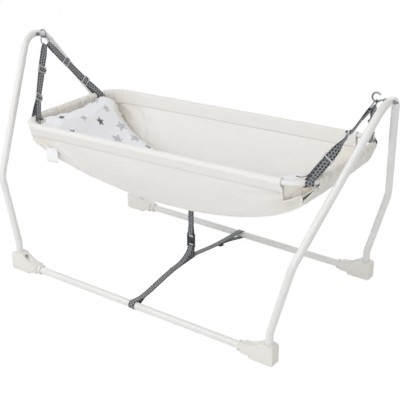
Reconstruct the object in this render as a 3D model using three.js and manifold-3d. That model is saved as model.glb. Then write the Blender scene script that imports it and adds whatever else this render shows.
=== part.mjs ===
// Hanging baby cradle: a fabric hammock with a rigid rim, hung by four straps from a tubular stand.
// Millimetres. +X runs along the length, +Y to the far side, +Z up, origin on the floor under the middle.
import * as THREE from 'three';
import { mergeVertices } from 'three/addons/utils/BufferGeometryUtils.js';
import Module from 'manifold-3d';

const wasm = await Module();
wasm.setup();

// Clearances and cutting
const fit = 0.3;
const overrun = 2;

// Stand tubes
const footSpan = 950;
const baseSpan = 592;
const tubeRadius = 11;
const tubeWall = 1.5;
const baseHeight = 20;
const legBottom = 9;
const legLeanDegrees = 14.8;
const leanStart = 93;
const leanRadius = 60;
const kneeHeight = 308;
const kneeSpan = 582;
const kneeRadius = 70;
const crownHeight = 697;
const crownRadius = 69;
const tubeTurnDegrees = 11;

// Moulded feet
const footOuter = 21;
const footHeight = 60;
const footWidth = 37;
const footEdge = 3;
const footShoulder = 13;
const footToe = 5;
const soleEnd = 52;
const soleStepRun = 7;
const neckUnderside = 8;
const neckTop = 34;
const neckEnd = 84;
const crestEnd = 19;
const socketWeb = 18;
const collarRadius = 14;
const collarStart = 58;
const collarEnd = 97;
const lipRadius = 16;
const lipWidth = 6;
const grooveWidth = 2.4;
const grooveDepth = 1.6;
const groovePitch = 15;
const grooveBottom = 9;

// Snap buttons that lock the legs in the feet
const lockHeight = 47;
const lockRadius = 4;
const lockTip = 16.5;
const lockBack = 4;
const lockHeadRadius = 5.4;
const lockHeadFront = 7.2;
const lockDome = 1.5;
const lockWindowRadius = 8;
const lockWall = 2.7;
const springWidth = 6;
const springThickness = 0.8;
const springBend = 16;
const springBackOffset = 8.2;
const springRise = 40;

// Hooks, rings and their nuts
const hookWireRadius = 2.5;
const hookReach = 37.5;
const hookLoopRadius = 12.5;
const hookDrop = 7.5;
const hookShankEnd = 20.5;
const hookOpenDegrees = 38;
const nutAcross = 10;
const nutDepth = 5;
const washerRadius = 6.5;
const washerDepth = 1.4;
const capDepth = 9;
const capRadius = 5;
const ringRadius = 17;
const ringWireRadius = 2;
const ringGap = 0.4;

// Rim of the cradle, in its own frame: centre of the rim, +z up from the rim's plane
const rimOverhang = 42;
const rimLength = footSpan + 2 * rimOverhang;
const rimWidth = 436;
const rimCorner = 80;
const rimTubeRadius = 8;
const rimTubeWall = 1.2;
const rimStub = 137;
const rimJoint = rimLength / 2 - rimCorner - rimStub;
const rimHeight = 488;
const rimForward = 13;
const rimTiltDegrees = 1.86;
const sleeveWall = 2;
const headSleeveShort = 6;
const headSideDegrees = 25;
const footEndDegrees = 18;

// Fabric body of the cradle
const clothThickness = 2.5;
const bodyDepth = 198;
const bodySag = 28;
const seamHalfWidth = 130;
const seamFlareShare = 3;
const profilePowerShare = 2.2;
const profileRootShare = 0.6667;
const cornerDegrees = 50;
const cornerShare = 0.9;
const cornerCutDeep = 46;
const cornerCutShallow = 22;
const headWrapShare = 0.1;
const headWrapDegrees = 24;
const loopRoom = 3.8;
const seamGap = 3.8;
const panelBulge = 9;

// Pad
const padHeadGap = 22;
const padFootGap = 121;
const padLeft = rimLength / 2 - padHeadGap;
const padRight = rimLength / 2 - padFootGap;
const padInset = 11;
const padThickness = 30;
const padEdgeShare = 0.3;
const padHeadCorner = 30;
const padHeadShare = 0.05;
const padFootCorner = 62;
const padFootShare = 0.12;
const padGap = 0.9;
const padStepsAlong = 34;
const padStepsAcross = 12;
const padCrown = 8;

// Label that hangs from the side panel
const labelLength = 46;
const labelWidth = 40;
const labelThickness = 0.8;
const labelGap = 1;
const labelStart = 440;
const labelRise = 25;

// Suspension webbing and its hardware
const webWidth = 25;
const webThickness = 1.5;
const webRingWidth = 14;
const ringTail = 30;
const ringTailBlend = 8;
const adjusterShare = 0.34;
const headGlideShare = 0.72;
const footGlideShare = 0.67;
const headLoopDegrees = 10;
const footLoopDegrees = 40;
const splitRun = 15;
const branchShares = [0.25, 0.5, 0.75];
const humpHeight = 4.5;
const glideHump = 1;
const frameBar = 3;
const frameCentreBar = 4;
const frameSlot = 6.2;
const frameSide = 3.2;
const frameSideClearance = 1;
const frameThickness = 2.5;
const frameCorner = 2.5;

// Tether under the cradle
const tetherWidth = 20;
const junctionHeight = 57;
const armMeet = 7;
const sewnReach = 103;
const sewnHeight = 52;
const sewnLength = 30;
const nearTail = 42;
const farTail = 150;
const sliderRun = 137;
const buckleTop = 139;
const buckleBottom = 93;
const buckleWidth = 28;
const buckleThickness = 9;
const buckleEdge = 2;
const buckleBar = 4;
const buckleSlot = 8.5;
const buckleSide = 3;
const socketBottom = 111.5;
const cavityDepth = 14;
const cavityWidth = 22.6;
const cavityThickness = 5.2;
const tongueWidth = 7;
const tongueLength = 11;
const prongThickness = 4.2;
const prongArm = 3;
const prongInset = 6.6;
const prongLength = 12;
const prongHeadRise = 4;
const prongHeadLength = 5.5;
const prongHeadOut = 13.3;
const windowMargin = 0.8;
const dropTail = 26;
const barLoopRadius = 4.3;

const steel = (color, roughness) => new THREE.MeshStandardMaterial({ color, roughness, metalness: 0.9 });
const plain = (color, roughness) => new THREE.MeshStandardMaterial({ color, roughness, metalness: 0 });
const enamel = () => plain('#e9e8e5', 0.32);
const ivoryPlastic = () => plain('#e6e4dc', 0.5);
const clearPlastic = () => plain('#eceef0', 0.25);
const blackPlastic = () => plain('#26272b', 0.4);
const chrome = () => steel('#b9bcc2', 0.15);
const darkSteel = () => steel('#5b5e63', 0.35);
const canvas = () => plain('#e9e6df', 0.9);
const quilting = () => plain('#e8e7ea', 0.95);
const webbing = () => plain('#5d6066', 0.85);
const labelCloth = () => plain('#f4f4f4', 0.8);

const cradle = new THREE.Group();
const sides = [['left', -1], ['right', 1]];
const rows = [['near', -1], ['far', 1]];
const toRadians = THREE.MathUtils.degToRad;
const vec = (x, y, z) => new THREE.Vector3(x, y, z);
const along = (a, b, share) => a.clone().lerp(b, share);

function addPiece(group, name, geometry, material) {
  const mesh = new THREE.Mesh(geometry, material);
  mesh.name = name;
  group.add(mesh);
  return mesh;
}

// Joins and cuts

function toSolid(geometry) {
  const bare = geometry.clone();
  bare.deleteAttribute('normal');
  bare.deleteAttribute('uv');
  const merged = mergeVertices(bare, 1e-3);
  return new wasm.Manifold(new wasm.Mesh({
    numProp: 3,
    vertProperties: Float32Array.from(merged.attributes.position.array),
    triVerts: Uint32Array.from(merged.index.array),
  }));
}

function toGeometry(solid) {
  const mesh = solid.getMesh();
  const geometry = new THREE.BufferGeometry();
  geometry.setAttribute('position', new THREE.BufferAttribute(mesh.vertProperties, 3));
  geometry.setIndex(new THREE.BufferAttribute(mesh.triVerts, 1));
  return geometry;
}

const joined = (first, ...others) => toGeometry(
  others.reduce((solid, other) => solid.add(toSolid(other)), toSolid(first)));

const cut = (body, ...cutters) => toGeometry(
  cutters.reduce((solid, cutter) => solid.subtract(toSolid(cutter)), toSolid(body)));

// Shapes along a route

// A route through chosen stations, so that the bends get the sections and the straights don't.
class StationCurve extends THREE.Curve {
  constructor(stations) {
    super();
    this.stations = stations;
  }

  getPoint(t, target = new THREE.Vector3()) {
    const last = this.stations.length - 1;
    const i = Math.min(Math.floor(t * last), last - 1);
    return target.lerpVectors(this.stations[i], this.stations[i + 1], t * last - i);
  }

  getPointAt(u, target) {
    return this.getPoint(u, target);
  }

  getSpacedPoints() {
    return this.stations.map((station) => station.clone());
  }

  getTangentAt(u, target = new THREE.Vector3()) {
    const i = Math.round(u * (this.stations.length - 1));
    return target.copy(directionAt(this.stations, i));
  }
}

function directionAt(stations, i) {
  const before = stations[Math.max(i - 1, 0)];
  const after = stations[Math.min(i + 1, stations.length - 1)];
  const coming = stations[i].clone().sub(before).normalize();
  const going = after.clone().sub(stations[i]).normalize();
  return coming.add(going).normalize();
}

// Stations along straight runs joined by true arcs of the given radii.
function roundedRoute(corners, radii) {
  const stations = [corners[0].clone()];
  for (let i = 1; i < corners.length - 1; i += 1) {
    const back = corners[i - 1].clone().sub(corners[i]).normalize();
    const ahead = corners[i + 1].clone().sub(corners[i]).normalize();
    const turn = Math.PI - back.angleTo(ahead);
    const radius = radii[i - 1];
    const start = corners[i].clone().addScaledVector(back, radius * Math.tan(turn / 2));
    const end = corners[i].clone().addScaledVector(ahead, radius * Math.tan(turn / 2));
    const inward = back.clone().add(ahead).normalize();
    const centre = corners[i].clone().addScaledVector(inward, radius / Math.cos(turn / 2));
    const arm = start.clone().sub(centre);
    const axis = arm.clone().cross(end.clone().sub(centre)).normalize();
    const steps = Math.max(2, Math.ceil(turn / toRadians(tubeTurnDegrees)));
    for (let k = 0; k <= steps; k += 1) {
      stations.push(centre.clone().add(arm.clone().applyAxisAngle(axis, (turn * k) / steps)));
    }
  }
  stations.push(corners[corners.length - 1].clone());
  return stations;
}

function sweep(stations, radius, wall, turns) {
  const section = new THREE.Shape();
  section.absarc(0, 0, radius, 0, 2 * Math.PI);
  if (wall > 0) {
    const bore = new THREE.Path();
    bore.absarc(0, 0, radius - wall, 0, 2 * Math.PI, true);
    section.holes.push(bore);
  }
  return new THREE.ExtrudeGeometry(section, {
    steps: stations.length - 1,
    curveSegments: turns,
    extrudePath: new StationCurve(stations),
  });
}

const rod = (from, to, radius, turns) => sweep([from, to], radius, 0, turns);

// A closed skin over loops of points that all have the same count, capped at both ends.
// Each loop runs out along one face and back along the other, and both faces share their diagonals.
function closedLoops(loops) {
  const count = loops[0].length;
  const positions = loops.flat().flatMap((point) => [point.x, point.y, point.z]);
  const index = [];
  for (let i = 0; i < loops.length - 1; i += 1) {
    for (let j = 0; j < count; j += 1) {
      const a = i * count + j;
      const b = i * count + ((j + 1) % count);
      if (j < count / 2) index.push(a, b, a + count, b, b + count, a + count);
      else index.push(a, b, b + count, a, b + count, a + count);
    }
  }
  const last = (loops.length - 1) * count;
  for (let j = 0; j < count / 2 - 1; j += 1) {
    const far = count - 1 - j;
    index.push(j, far, j + 1, far, far - 1, j + 1);
    index.push(last + j, last + j + 1, last + far, last + far, last + j + 1, last + far - 1);
  }
  return facingOut(positions, index);
}

function facingOut(positions, index) {
  const corner = (i) => vec(positions[3 * i], positions[3 * i + 1], positions[3 * i + 2]);
  let volume = 0;
  for (let i = 0; i < index.length; i += 3) {
    volume += corner(index[i]).dot(corner(index[i + 1]).cross(corner(index[i + 2])));
  }
  const geometry = new THREE.BufferGeometry();
  geometry.setAttribute('position', new THREE.Float32BufferAttribute(positions, 3));
  geometry.setIndex(volume < 0 ? index.reverse() : index);
  return geometry;
}

// A flat band along stations; each station has a place, the direction of its width, and its width.
function band(stations, thickness) {
  const places = stations.map((station) => station.place);
  const loops = stations.map((station, i) => {
    const ahead = directionAt(places, i);
    const face = ahead.clone().cross(station.across).normalize();
    const corner = (side, layer) => station.place.clone()
      .addScaledVector(station.across, (side * station.width) / 2)
      .addScaledVector(face, (layer * thickness) / 2);
    return [corner(-1, -1), corner(1, -1), corner(1, 1), corner(-1, 1)];
  });
  return closedLoops(loops);
}

// A point at a distance from a surface that is given by a function of two shares.
function offSurface(surface, u, v, distance) {
  const step = 1e-3;
  const du = surface(Math.min(u + step, 1), v).sub(surface(Math.max(u - step, 0), v));
  const dv = surface(u, Math.min(v + step, 1)).sub(surface(u, Math.max(v - step, 0)));
  return surface(u, v).addScaledVector(du.cross(dv).normalize(), distance);
}

// A sheet of even thickness over such a surface, with a section at each given share of its length.
function sheet(surface, sections, stepsAcross, thickness) {
  const shares = Array.from({ length: stepsAcross + 1 }, (_, j) => j / stepsAcross);
  const skin = (u, layer) => shares.map((v) => offSurface(surface, u, v, (layer * thickness) / 2));
  return closedLoops(sections.map((u) => [...skin(u, 1), ...skin(u, -1).reverse()]));
}

// Even steps from one value up to, but not including, the next.
const spread = (from, to, steps) => Array.from(
  { length: steps }, (_, k) => THREE.MathUtils.lerp(from, to, k / steps));

const box = (low, high) => new THREE.BoxGeometry(high.x - low.x, high.y - low.y, high.z - low.z)
  .translate((low.x + high.x) / 2, (low.y + high.y) / 2, (low.z + high.z) / 2);

// Stand

const baseTubeEnd = footSpan / 2 - tubeRadius - fit - socketWeb - fit;
const crownReach = footSpan / 2 + (crownHeight - leanStart) * Math.tan(toRadians(legLeanDegrees));

// One end frame is a single bent tube that leans outwards; rise is measured up the lean.
function endFrameRoute(side) {
  const lean = toRadians(legLeanDegrees);
  const kneeRise = (kneeHeight - leanStart) / Math.cos(lean);
  const centreRise = (crownHeight - leanStart) / Math.cos(lean) - crownRadius;
  const kneeAway = Math.hypot(kneeSpan / 2, centreRise - kneeRise);
  const tangent = Math.atan2(kneeRise - centreRise, kneeSpan / 2) + Math.acos(crownRadius / kneeAway);
  const peakRise = centreRise + crownRadius / Math.sin(tangent);
  const leaning = (y, rise) => vec(
    side * (footSpan / 2 + rise * Math.sin(lean)), y, leanStart + rise * Math.cos(lean));
  const leg = (row) => [
    vec((side * footSpan) / 2, (row * baseSpan) / 2, legBottom),
    leaning((row * baseSpan) / 2, 0),
    leaning((row * kneeSpan) / 2, kneeRise),
  ];
  const corners = [...leg(-1), leaning(0, peakRise), ...leg(1).reverse()];
  return roundedRoute(corners, [leanRadius, kneeRadius, crownRadius, kneeRadius, leanRadius]);
}

function endFrame(side) {
  const tube = sweep(endFrameRoute(side), tubeRadius, tubeWall, 7);
  const crown = vec(side * crownReach, 0, crownHeight);
  const boltReach = vec(tubeRadius + overrun, 0, 0);
  const boltHole = rod(crown.clone().sub(boltReach), crown.clone().add(boltReach), hookWireRadius + fit, 5);
  const buttonHoles = rows.map(([, row]) => {
    const leg = vec((side * footSpan) / 2, (row * baseSpan) / 2, lockHeight);
    return rod(leg, leg.clone().add(vec(-side * (tubeRadius + overrun), 0, 0)), lockRadius + fit, 6);
  });
  return cut(tube, boltHole, ...buttonHoles);
}

// The foot is drawn with its leg axis at x = 0 and its neck towards +x.
function footGeometry() {
  const neckStart = soleEnd + soleStepRun;
  const side = new THREE.Shape();
  side.moveTo(footToe - footOuter, 0);
  side.lineTo(soleEnd, 0);
  side.lineTo(neckStart, neckUnderside);
  side.lineTo(neckEnd, neckUnderside);
  side.lineTo(neckEnd, neckTop);
  side.bezierCurveTo(neckStart, neckTop, soleEnd - footToe, neckTop + footToe, crestEnd, footHeight);
  side.lineTo(footShoulder - footOuter, footHeight);
  side.quadraticCurveTo(-footOuter, footHeight, -footOuter, footHeight - footShoulder);
  side.lineTo(-footOuter, footToe);
  side.quadraticCurveTo(-footOuter, 0, footToe - footOuter, 0);
  const block = new THREE.ExtrudeGeometry(side, {
    depth: footWidth - 2 * footEdge,
    steps: 1,
    curveSegments: 6,
    bevelThickness: footEdge,
    bevelSize: footEdge,
    bevelOffset: -footEdge,
    bevelSegments: 2,
  });
  block.translate(0, 0, footEdge - footWidth / 2).rotateX(Math.PI / 2);
  const axisAt = (x) => vec(x, 0, baseHeight);
  const collar = rod(axisAt(collarStart), axisAt(collarEnd - lipWidth / 2), collarRadius, 10);
  const lip = rod(axisAt(collarEnd - lipWidth), axisAt(collarEnd), lipRadius, 10);
  const legSocket = rod(vec(0, 0, legBottom - fit), vec(0, 0, footHeight + overrun), tubeRadius + fit, 8);
  const socketStart = axisAt(footSpan / 2 - baseTubeEnd - fit);
  const baseSocket = rod(socketStart, axisAt(collarEnd + overrun), tubeRadius + fit, 8);
  const grooves = [-1, 1].map((hand) => box(
    vec(-footOuter - overrun, (hand * groovePitch - grooveWidth) / 2, grooveBottom),
    vec(grooveDepth - footOuter, (hand * groovePitch + grooveWidth) / 2, footHeight - footShoulder)));
  const lockAt = (x) => vec(x, 0, lockHeight);
  const buttonHole = rod(lockAt(0), lockAt(neckStart), lockRadius + fit, 6);
  const window = rod(lockAt(tubeRadius + fit + lockWall), lockAt(neckStart), lockWindowRadius, 8);
  return cut(joined(block, collar, lip), legSocket, baseSocket, ...grooves, buttonHole, window);
}

// Revolved about the button's own axis, then laid along +x.
function buttonGeometry() {
  const outline = [
    [0, lockBack],
    [lockHeadRadius, lockBack],
    [lockHeadRadius, lockHeadFront],
    [lockRadius, lockHeadFront],
    [lockRadius, lockTip - lockDome],
    [lockRadius - lockDome / 2, lockTip - lockDome / 3],
    [0, lockTip],
  ].map(([radius, place]) => new THREE.Vector2(radius, place));
  return new THREE.LatheGeometry(outline, 14).rotateZ(-Math.PI / 2);
}

// A bent leaf that rests on the far wall of the leg and pushes the button out.
function springGeometry() {
  const leafFront = lockBack - fit - springThickness / 2;
  const corners = [
    vec(leafFront, 0, lockHeight + lockHeadRadius),
    vec(leafFront, 0, lockHeight - lockHeadRadius),
    vec(-springBackOffset / 2, 0, springBend),
    vec(-springBackOffset, 0, springRise - lockHeadRadius),
    vec(-springBackOffset, 0, springRise),
  ];
  const stations = roundedRoute(corners, [lockHeadRadius, lockBack, lockHeadRadius]);
  return band(stations.map((place) => ({ place, across: vec(0, 1, 0), width: springWidth })), springThickness);
}

function addStand() {
  for (const [sideName, side] of sides) {
    addPiece(cradle, `end_frame_${sideName}`, endFrame(side), enamel());
    for (const [rowName, row] of rows) {
      const corner = new THREE.Group();
      corner.position.set((side * footSpan) / 2, (row * baseSpan) / 2, 0);
      corner.rotation.z = side > 0 ? Math.PI : 0;
      addPiece(corner, `foot_${rowName}_${sideName}`, footGeometry(), ivoryPlastic());
      const button = addPiece(corner, `lock_button_${rowName}_${sideName}`, buttonGeometry(), darkSteel());
      button.position.z = lockHeight;
      addPiece(corner, `snap_spring_${rowName}_${sideName}`, springGeometry(), darkSteel());
      cradle.add(corner);
    }
  }
  for (const [rowName, row] of rows) {
    const end = (side) => vec(side * baseTubeEnd, (row * baseSpan) / 2, baseHeight);
    addPiece(cradle, `base_tube_${rowName}`, sweep([end(-1), end(1)], tubeRadius, tubeWall, 8), enamel());
  }
}

// Hooks, nuts and rings

const hookCentreX = crownReach - hookReach;
const hookLowest = crownHeight - hookDrop;

function hookRoute(side) {
  const tail = vec(crownReach + tubeRadius + capDepth, 0, crownHeight);
  const shankEnd = vec(crownReach - hookShankEnd, 0, crownHeight);
  const lowest = vec(hookCentreX, 0, hookLowest);
  const midX = (shankEnd.x + lowest.x) / 2;
  const bend = new THREE.CubicBezierCurve3(
    shankEnd, vec(midX, 0, crownHeight), vec(midX, 0, hookLowest), lowest);
  const stations = [tail, ...bend.getPoints(5)];
  const sweepDegrees = 270 - hookOpenDegrees;
  const steps = 14;
  for (let k = 1; k <= steps; k += 1) {
    const angle = toRadians(-90 - (sweepDegrees * k) / steps);
    stations.push(vec(
      hookCentreX + hookLoopRadius * Math.cos(angle), 0,
      hookLowest + hookLoopRadius + hookLoopRadius * Math.sin(angle)));
  }
  return stations.map((station) => vec(side * station.x, station.y, station.z));
}

// Hexagon with a clearance bore and a round washer face, drawn along +x from x = 0.
function nutGeometry() {
  const hexagon = new THREE.Shape();
  for (let k = 0; k < 6; k += 1) {
    const angle = (k * Math.PI) / 3;
    const reach = nutAcross / 2 / Math.cos(Math.PI / 6);
    hexagon[k ? 'lineTo' : 'moveTo'](reach * Math.cos(angle), reach * Math.sin(angle));
  }
  const nut = new THREE.ExtrudeGeometry(hexagon, { depth: nutDepth, bevelEnabled: false })
    .rotateY(Math.PI / 2).translate(washerDepth, 0, 0);
  const washer = rod(vec(0, 0, 0), vec(washerDepth + fit, 0, 0), washerRadius, 9);
  const bore = rod(vec(-overrun, 0, 0), vec(nutDepth + washerDepth + overrun, 0, 0), hookWireRadius + fit, 5);
  return cut(joined(nut, washer), bore);
}

// Domed cap over the threaded tail, blind, drawn along +x from x = 0.
function capGeometry() {
  const outline = [
    [hookWireRadius + fit, 0],
    [washerRadius, 0],
    [washerRadius, washerDepth],
    [capRadius, washerDepth],
    [capRadius, nutDepth],
    [capRadius * Math.cos(Math.PI / 6), nutDepth + (capDepth - nutDepth) / 2],
    [capRadius / 2, capDepth + hookWireRadius],
    [0, capDepth + hookWireRadius + fit],
    [0, capDepth + fit],
    [hookWireRadius + fit, capDepth + fit],
    [hookWireRadius + fit, 0],
  ].map(([radius, place]) => new THREE.Vector2(radius, place));
  return new THREE.LatheGeometry(outline, 12).rotateZ(-Math.PI / 2);
}

function ringGeometry() {
  const section = Array.from({ length: 7 }, (_, k) => {
    const angle = (k * Math.PI) / 3;
    return new THREE.Vector2(
      ringRadius + ringWireRadius * Math.cos(angle), ringWireRadius * Math.sin(angle));
  });
  section[6].copy(section[0]);
  return new THREE.LatheGeometry(section, 26);
}

// Where a point of the rim's own frame lies in the cradle.
function fromRim(point) {
  return point.clone()
    .applyAxisAngle(vec(0, 1, 0), -toRadians(rimTiltDegrees))
    .add(vec(rimForward, 0, rimHeight));
}

// A point of the rim's rounded corner; degrees 0 faces along the length, 90 across it.
function rimCornerPoint(side, row, degrees) {
  const angle = toRadians(degrees);
  return vec(
    side * (rimLength / 2 - rimCorner + rimCorner * Math.cos(angle)),
    row * (rimWidth / 2 - rimCorner + rimCorner * Math.sin(angle)), 0);
}

const loopDegrees = (side) => (side < 0 ? headLoopDegrees : footLoopDegrees);

// The ring hangs from the bottom of the hook, in the plane of its two straps.
function ringPlace(side) {
  const loop = fromRim(rimCornerPoint(side, 1, loopDegrees(side)));
  const top = vec(side * hookCentreX, 0, hookLowest + hookWireRadius + ringGap + ringWireRadius);
  const down = vec(loop.x - top.x, 0, loop.z - top.z).normalize();
  const inward = down.clone().cross(vec(0, -side, 0));
  return { centre: top.clone().addScaledVector(down, ringRadius), inward };
}

function addHooks() {
  for (const [name, side] of sides) {
    addPiece(cradle, `hook_${name}`, sweep(hookRoute(side), hookWireRadius, 0, 5), chrome());
    const nut = addPiece(cradle, `hook_nut_${name}`, nutGeometry(), darkSteel());
    nut.rotation.z = side > 0 ? Math.PI : 0;
    nut.position.set(side * (crownReach - tubeRadius - fit), 0, crownHeight);
    const cap = addPiece(cradle, `cap_nut_${name}`, capGeometry(), darkSteel());
    cap.rotation.z = side > 0 ? 0 : Math.PI;
    cap.position.set(side * (crownReach + tubeRadius + fit), 0, crownHeight);
    const ring = addPiece(cradle, `ring_${name}`, ringGeometry(), chrome());
    const { centre, inward } = ringPlace(side);
    ring.position.copy(centre);
    ring.quaternion.setFromUnitVectors(vec(0, 1, 0), inward);
  }
}

// Rim tubes and sleeves

const rimFrame = new THREE.Group();
rimFrame.position.set(rimForward, 0, rimHeight);
rimFrame.rotation.y = -toRadians(rimTiltDegrees);
const sleeveRadius = rimTubeRadius + fit + sleeveWall;
const sideSleeveEnd = rimLength / 2 - rimCorner;
const endSleeveEnd = rimWidth / 2 - rimCorner;
const headSleeveEnd = endSleeveEnd - headSleeveShort;

// Stations of a rim corner from one angle to another, on the same chords as the rim tube's own.
function cornerStations(side, row, fromDegrees, toDegrees) {
  const step = 90 / Math.ceil(90 / tubeTurnDegrees);
  const at = (degrees) => {
    const before = Math.min(Math.floor(degrees / step) * step, 90 - step);
    const share = (degrees - before) / step;
    return along(rimCornerPoint(side, row, before), rimCornerPoint(side, row, before + step), share);
  };
  const stations = [at(fromDegrees)];
  for (let degrees = step; degrees < toDegrees; degrees += step) {
    if (degrees > fromDegrees) stations.push(at(degrees));
  }
  return [...stations, at(toDegrees)];
}

// The head sleeve stops short of its strap loops; the foot sleeve runs round both bends to them.
function endSleeveRoute(side) {
  if (side < 0) return [-1, 1].map((row) => vec(-rimLength / 2, row * headSleeveEnd, 0));
  const bend = (row) => cornerStations(1, row, 0, footEndDegrees);
  return [...bend(-1).reverse(), ...bend(1)];
}

function addRim() {
  for (const [name, side] of sides) {
    const corner = (x, row) => vec(side * x, (row * rimWidth) / 2, 0);
    const corners = [[rimJoint, -1], [rimLength / 2, -1], [rimLength / 2, 1], [rimJoint, 1]]
      .map(([x, row]) => corner(x, row));
    const route = roundedRoute(corners, [rimCorner, rimCorner]);
    addPiece(rimFrame, `rim_end_${name}`, sweep(route, rimTubeRadius, rimTubeWall, 6), enamel());
    addPiece(rimFrame, `sleeve_${name}`, sweep(endSleeveRoute(side), sleeveRadius, sleeveWall, 7), canvas());
  }
  for (const [name, row] of rows) {
    const ends = (x) => [-1, 1].map((side) => vec(side * x, (row * rimWidth) / 2, 0));
    const tube = sweep(ends(rimJoint - fit), rimTubeRadius, rimTubeWall, 6);
    addPiece(rimFrame, `rim_side_${name}`, tube, enamel());
    const sleeve = [...cornerStations(-1, row, headSideDegrees, 90), ends(sideSleeveEnd)[1]];
    addPiece(rimFrame, `sleeve_${name}`, sweep(sleeve, sleeveRadius, sleeveWall, 7), canvas());
  }
}

// Fabric body

const clothDrop = sleeveRadius + loopRoom + clothThickness / 2;
const bodyEnd = rimLength / 2 - clothThickness / 2;

// Depth of the lower seam under the rim, a deep middle that rises to both ends.
function depthAt(x) {
  const share = Math.min(Math.abs(x) / bodyEnd, 1) ** profilePowerShare;
  return clothDrop + (bodyDepth - clothDrop) * (1 - share) ** profileRootShare;
}

// Point on the lower seam; q runs from -1 at the left corner to 1 at the right corner.
function seamPoint(q, row) {
  const corner = rimCornerPoint(1, 1, cornerDegrees);
  const halfWidth = seamHalfWidth + (corner.y - seamHalfWidth) * Math.abs(q) ** seamFlareShare;
  return vec(q * corner.x, row * halfWidth, -depthAt(q * corner.x));
}

// Top edge of a side panel: straight under its sleeve, then cut away under the rim's corner.
function panelTop(q, row) {
  const turned = (Math.abs(q) - cornerShare) / (1 - cornerShare);
  if (turned <= 0) {
    return vec((q / cornerShare) * sideSleeveEnd, (row * rimWidth) / 2, -sleeveRadius - fit);
  }
  const corner = rimCornerPoint(Math.sign(q), row, 90 - turned * (90 - cornerDegrees));
  const headCut = THREE.MathUtils.lerp(fit, loopRoom, turned);
  const footCut = THREE.MathUtils.lerp(cornerCutDeep, cornerCutShallow, turned);
  corner.z = -sleeveRadius - (q < 0 ? headCut : footCut);
  return corner;
}

// Depth of the base's edge where it follows the rim's bend, from the seam's corner to the end.
function edgeDepth(turned) {
  const corner = depthAt(rimCornerPoint(1, 1, cornerDegrees).x);
  return THREE.MathUtils.lerp(corner, clothDrop, 1 - (1 - turned) ** 2);
}

// At the head the side panels go on round the bend, down to the edge of the base.
function panelSurface(row) {
  return (u, v) => {
    const q = THREE.MathUtils.lerp(-1 - headWrapShare, 1, u);
    const seamShare = Math.max(q, -1);
    const top = panelTop(seamShare, row);
    const seam = seamPoint(seamShare, row);
    if (q < -1) {
      const degrees = THREE.MathUtils.lerp(cornerDegrees, headWrapDegrees, (-1 - q) / headWrapShare);
      const bend = rimCornerPoint(-1, row, degrees);
      top.set(bend.x, bend.y, top.z);
      seam.set(bend.x, bend.y, -edgeDepth(1 - degrees / cornerDegrees));
    }
    seam.z += seamGap;
    const point = along(top, seam, v);
    point.y += row * panelBulge * Math.sin(Math.PI * v) * (1 - seamShare ** 2);
    return point;
  };
}

// The base runs from end sleeve to end sleeve; past the corners its edge follows the rim's bend.
function baseSurface(u, v) {
  const q = 2 * u - 1;
  const across = 2 * v - 1;
  const turned = (Math.abs(q) - cornerShare) / (1 - cornerShare);
  let edge = seamPoint(q / cornerShare, 1);
  if (turned > 0) {
    edge = rimCornerPoint(Math.sign(q), 1, cornerDegrees * (1 - turned));
    edge.x -= Math.sign(q) * turned * clothThickness / 2;
    edge.z = -edgeDepth(turned);
  }
  const keel = vec(q * bodyEnd, 0, -depthAt(q * bodyEnd) - bodySag * (1 - q ** 2));
  const share = across ** 2;
  return vec(
    keel.x + (edge.x - keel.x) * share, across * edge.y, keel.z + (edge.z - keel.z) * share);
}

function addBody() {
  const cornerSteps = 4;
  const places = [
    ...spread(-1, -cornerShare, cornerSteps),
    ...spread(-cornerShare, cornerShare, 28),
    ...spread(cornerShare, 1, cornerSteps),
    1];
  const baseSections = places.map((q) => (q + 1) / 2);
  addPiece(rimFrame, 'base_panel', sheet(baseSurface, baseSections, 10, clothThickness), canvas());
  const panelSections = [...spread(-1 - headWrapShare, -1, cornerSteps), ...places]
    .map((q) => (q + 1 + headWrapShare) / (2 + headWrapShare));
  for (const [name, row] of rows) {
    const panel = sheet(panelSurface(row), panelSections, 5, clothThickness);
    addPiece(rimFrame, `side_panel_${name}`, panel, canvas());
  }

  // The label hangs free from a point of the near panel, a little above its lower seam.
  const q = -labelStart / rimCornerPoint(1, 1, cornerDegrees).x;
  const height = panelTop(q, -1).distanceTo(seamPoint(q, -1));
  const hung = panelSurface(-1)((q + 1 + headWrapShare) / (2 + headWrapShare), 1 - labelRise / height);
  const back = hung.y - clothThickness / 2 - labelGap;
  const low = vec(hung.x, back - labelThickness, hung.z - labelWidth);
  const high = vec(hung.x + labelLength, back, hung.z);
  addPiece(rimFrame, 'care_label', box(low, high), labelCloth());
}

// The pad lies in the base; its edges draw in and its middle is crowned.
function padGeometry() {
  const loops = [];
  for (let i = 0; i <= padStepsAlong; i += 1) {
    const share = (1 - Math.cos((Math.PI * i) / padStepsAlong)) / 2;
    const [corner, cornerRunShare] = share < 0.5
      ? [padHeadCorner, padHeadShare] : [padFootCorner, padFootShare];
    const nearEnd = Math.min(share, 1 - share) / cornerRunShare;
    const round = nearEnd < 1 ? Math.sqrt(1 - (1 - nearEnd) ** 2) : 1;
    const x = THREE.MathUtils.lerp(-padLeft, padRight, share);
    const u = (x / bodyEnd + 1) / 2;
    const fullWidth = baseSurface(u, 1).y;
    const halfWidth = fullWidth - padInset - corner * (1 - round);
    const upper = [];
    const under = [];
    for (let j = 0; j <= padStepsAcross; j += 1) {
      const across = (2 * j) / padStepsAcross - 1;
      const v = ((across * halfWidth) / fullWidth + 1) / 2;
      const full = THREE.MathUtils.lerp(padEdgeShare, 1, round * Math.sqrt(1 - Math.abs(across) ** 5));
      const lift = clothThickness / 2 + padGap + (padThickness * (1 - full)) / 3;
      under.push(offSurface(baseSurface, u, v, lift));
      const crown = padCrown * round * (1 - across ** 2);
      upper.push(offSurface(baseSurface, u, v, lift + padThickness * full + crown));
    }
    loops.push([...upper, ...under.reverse()]);
  }
  return closedLoops(loops);
}

// Webbing and its plastic frames

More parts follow.
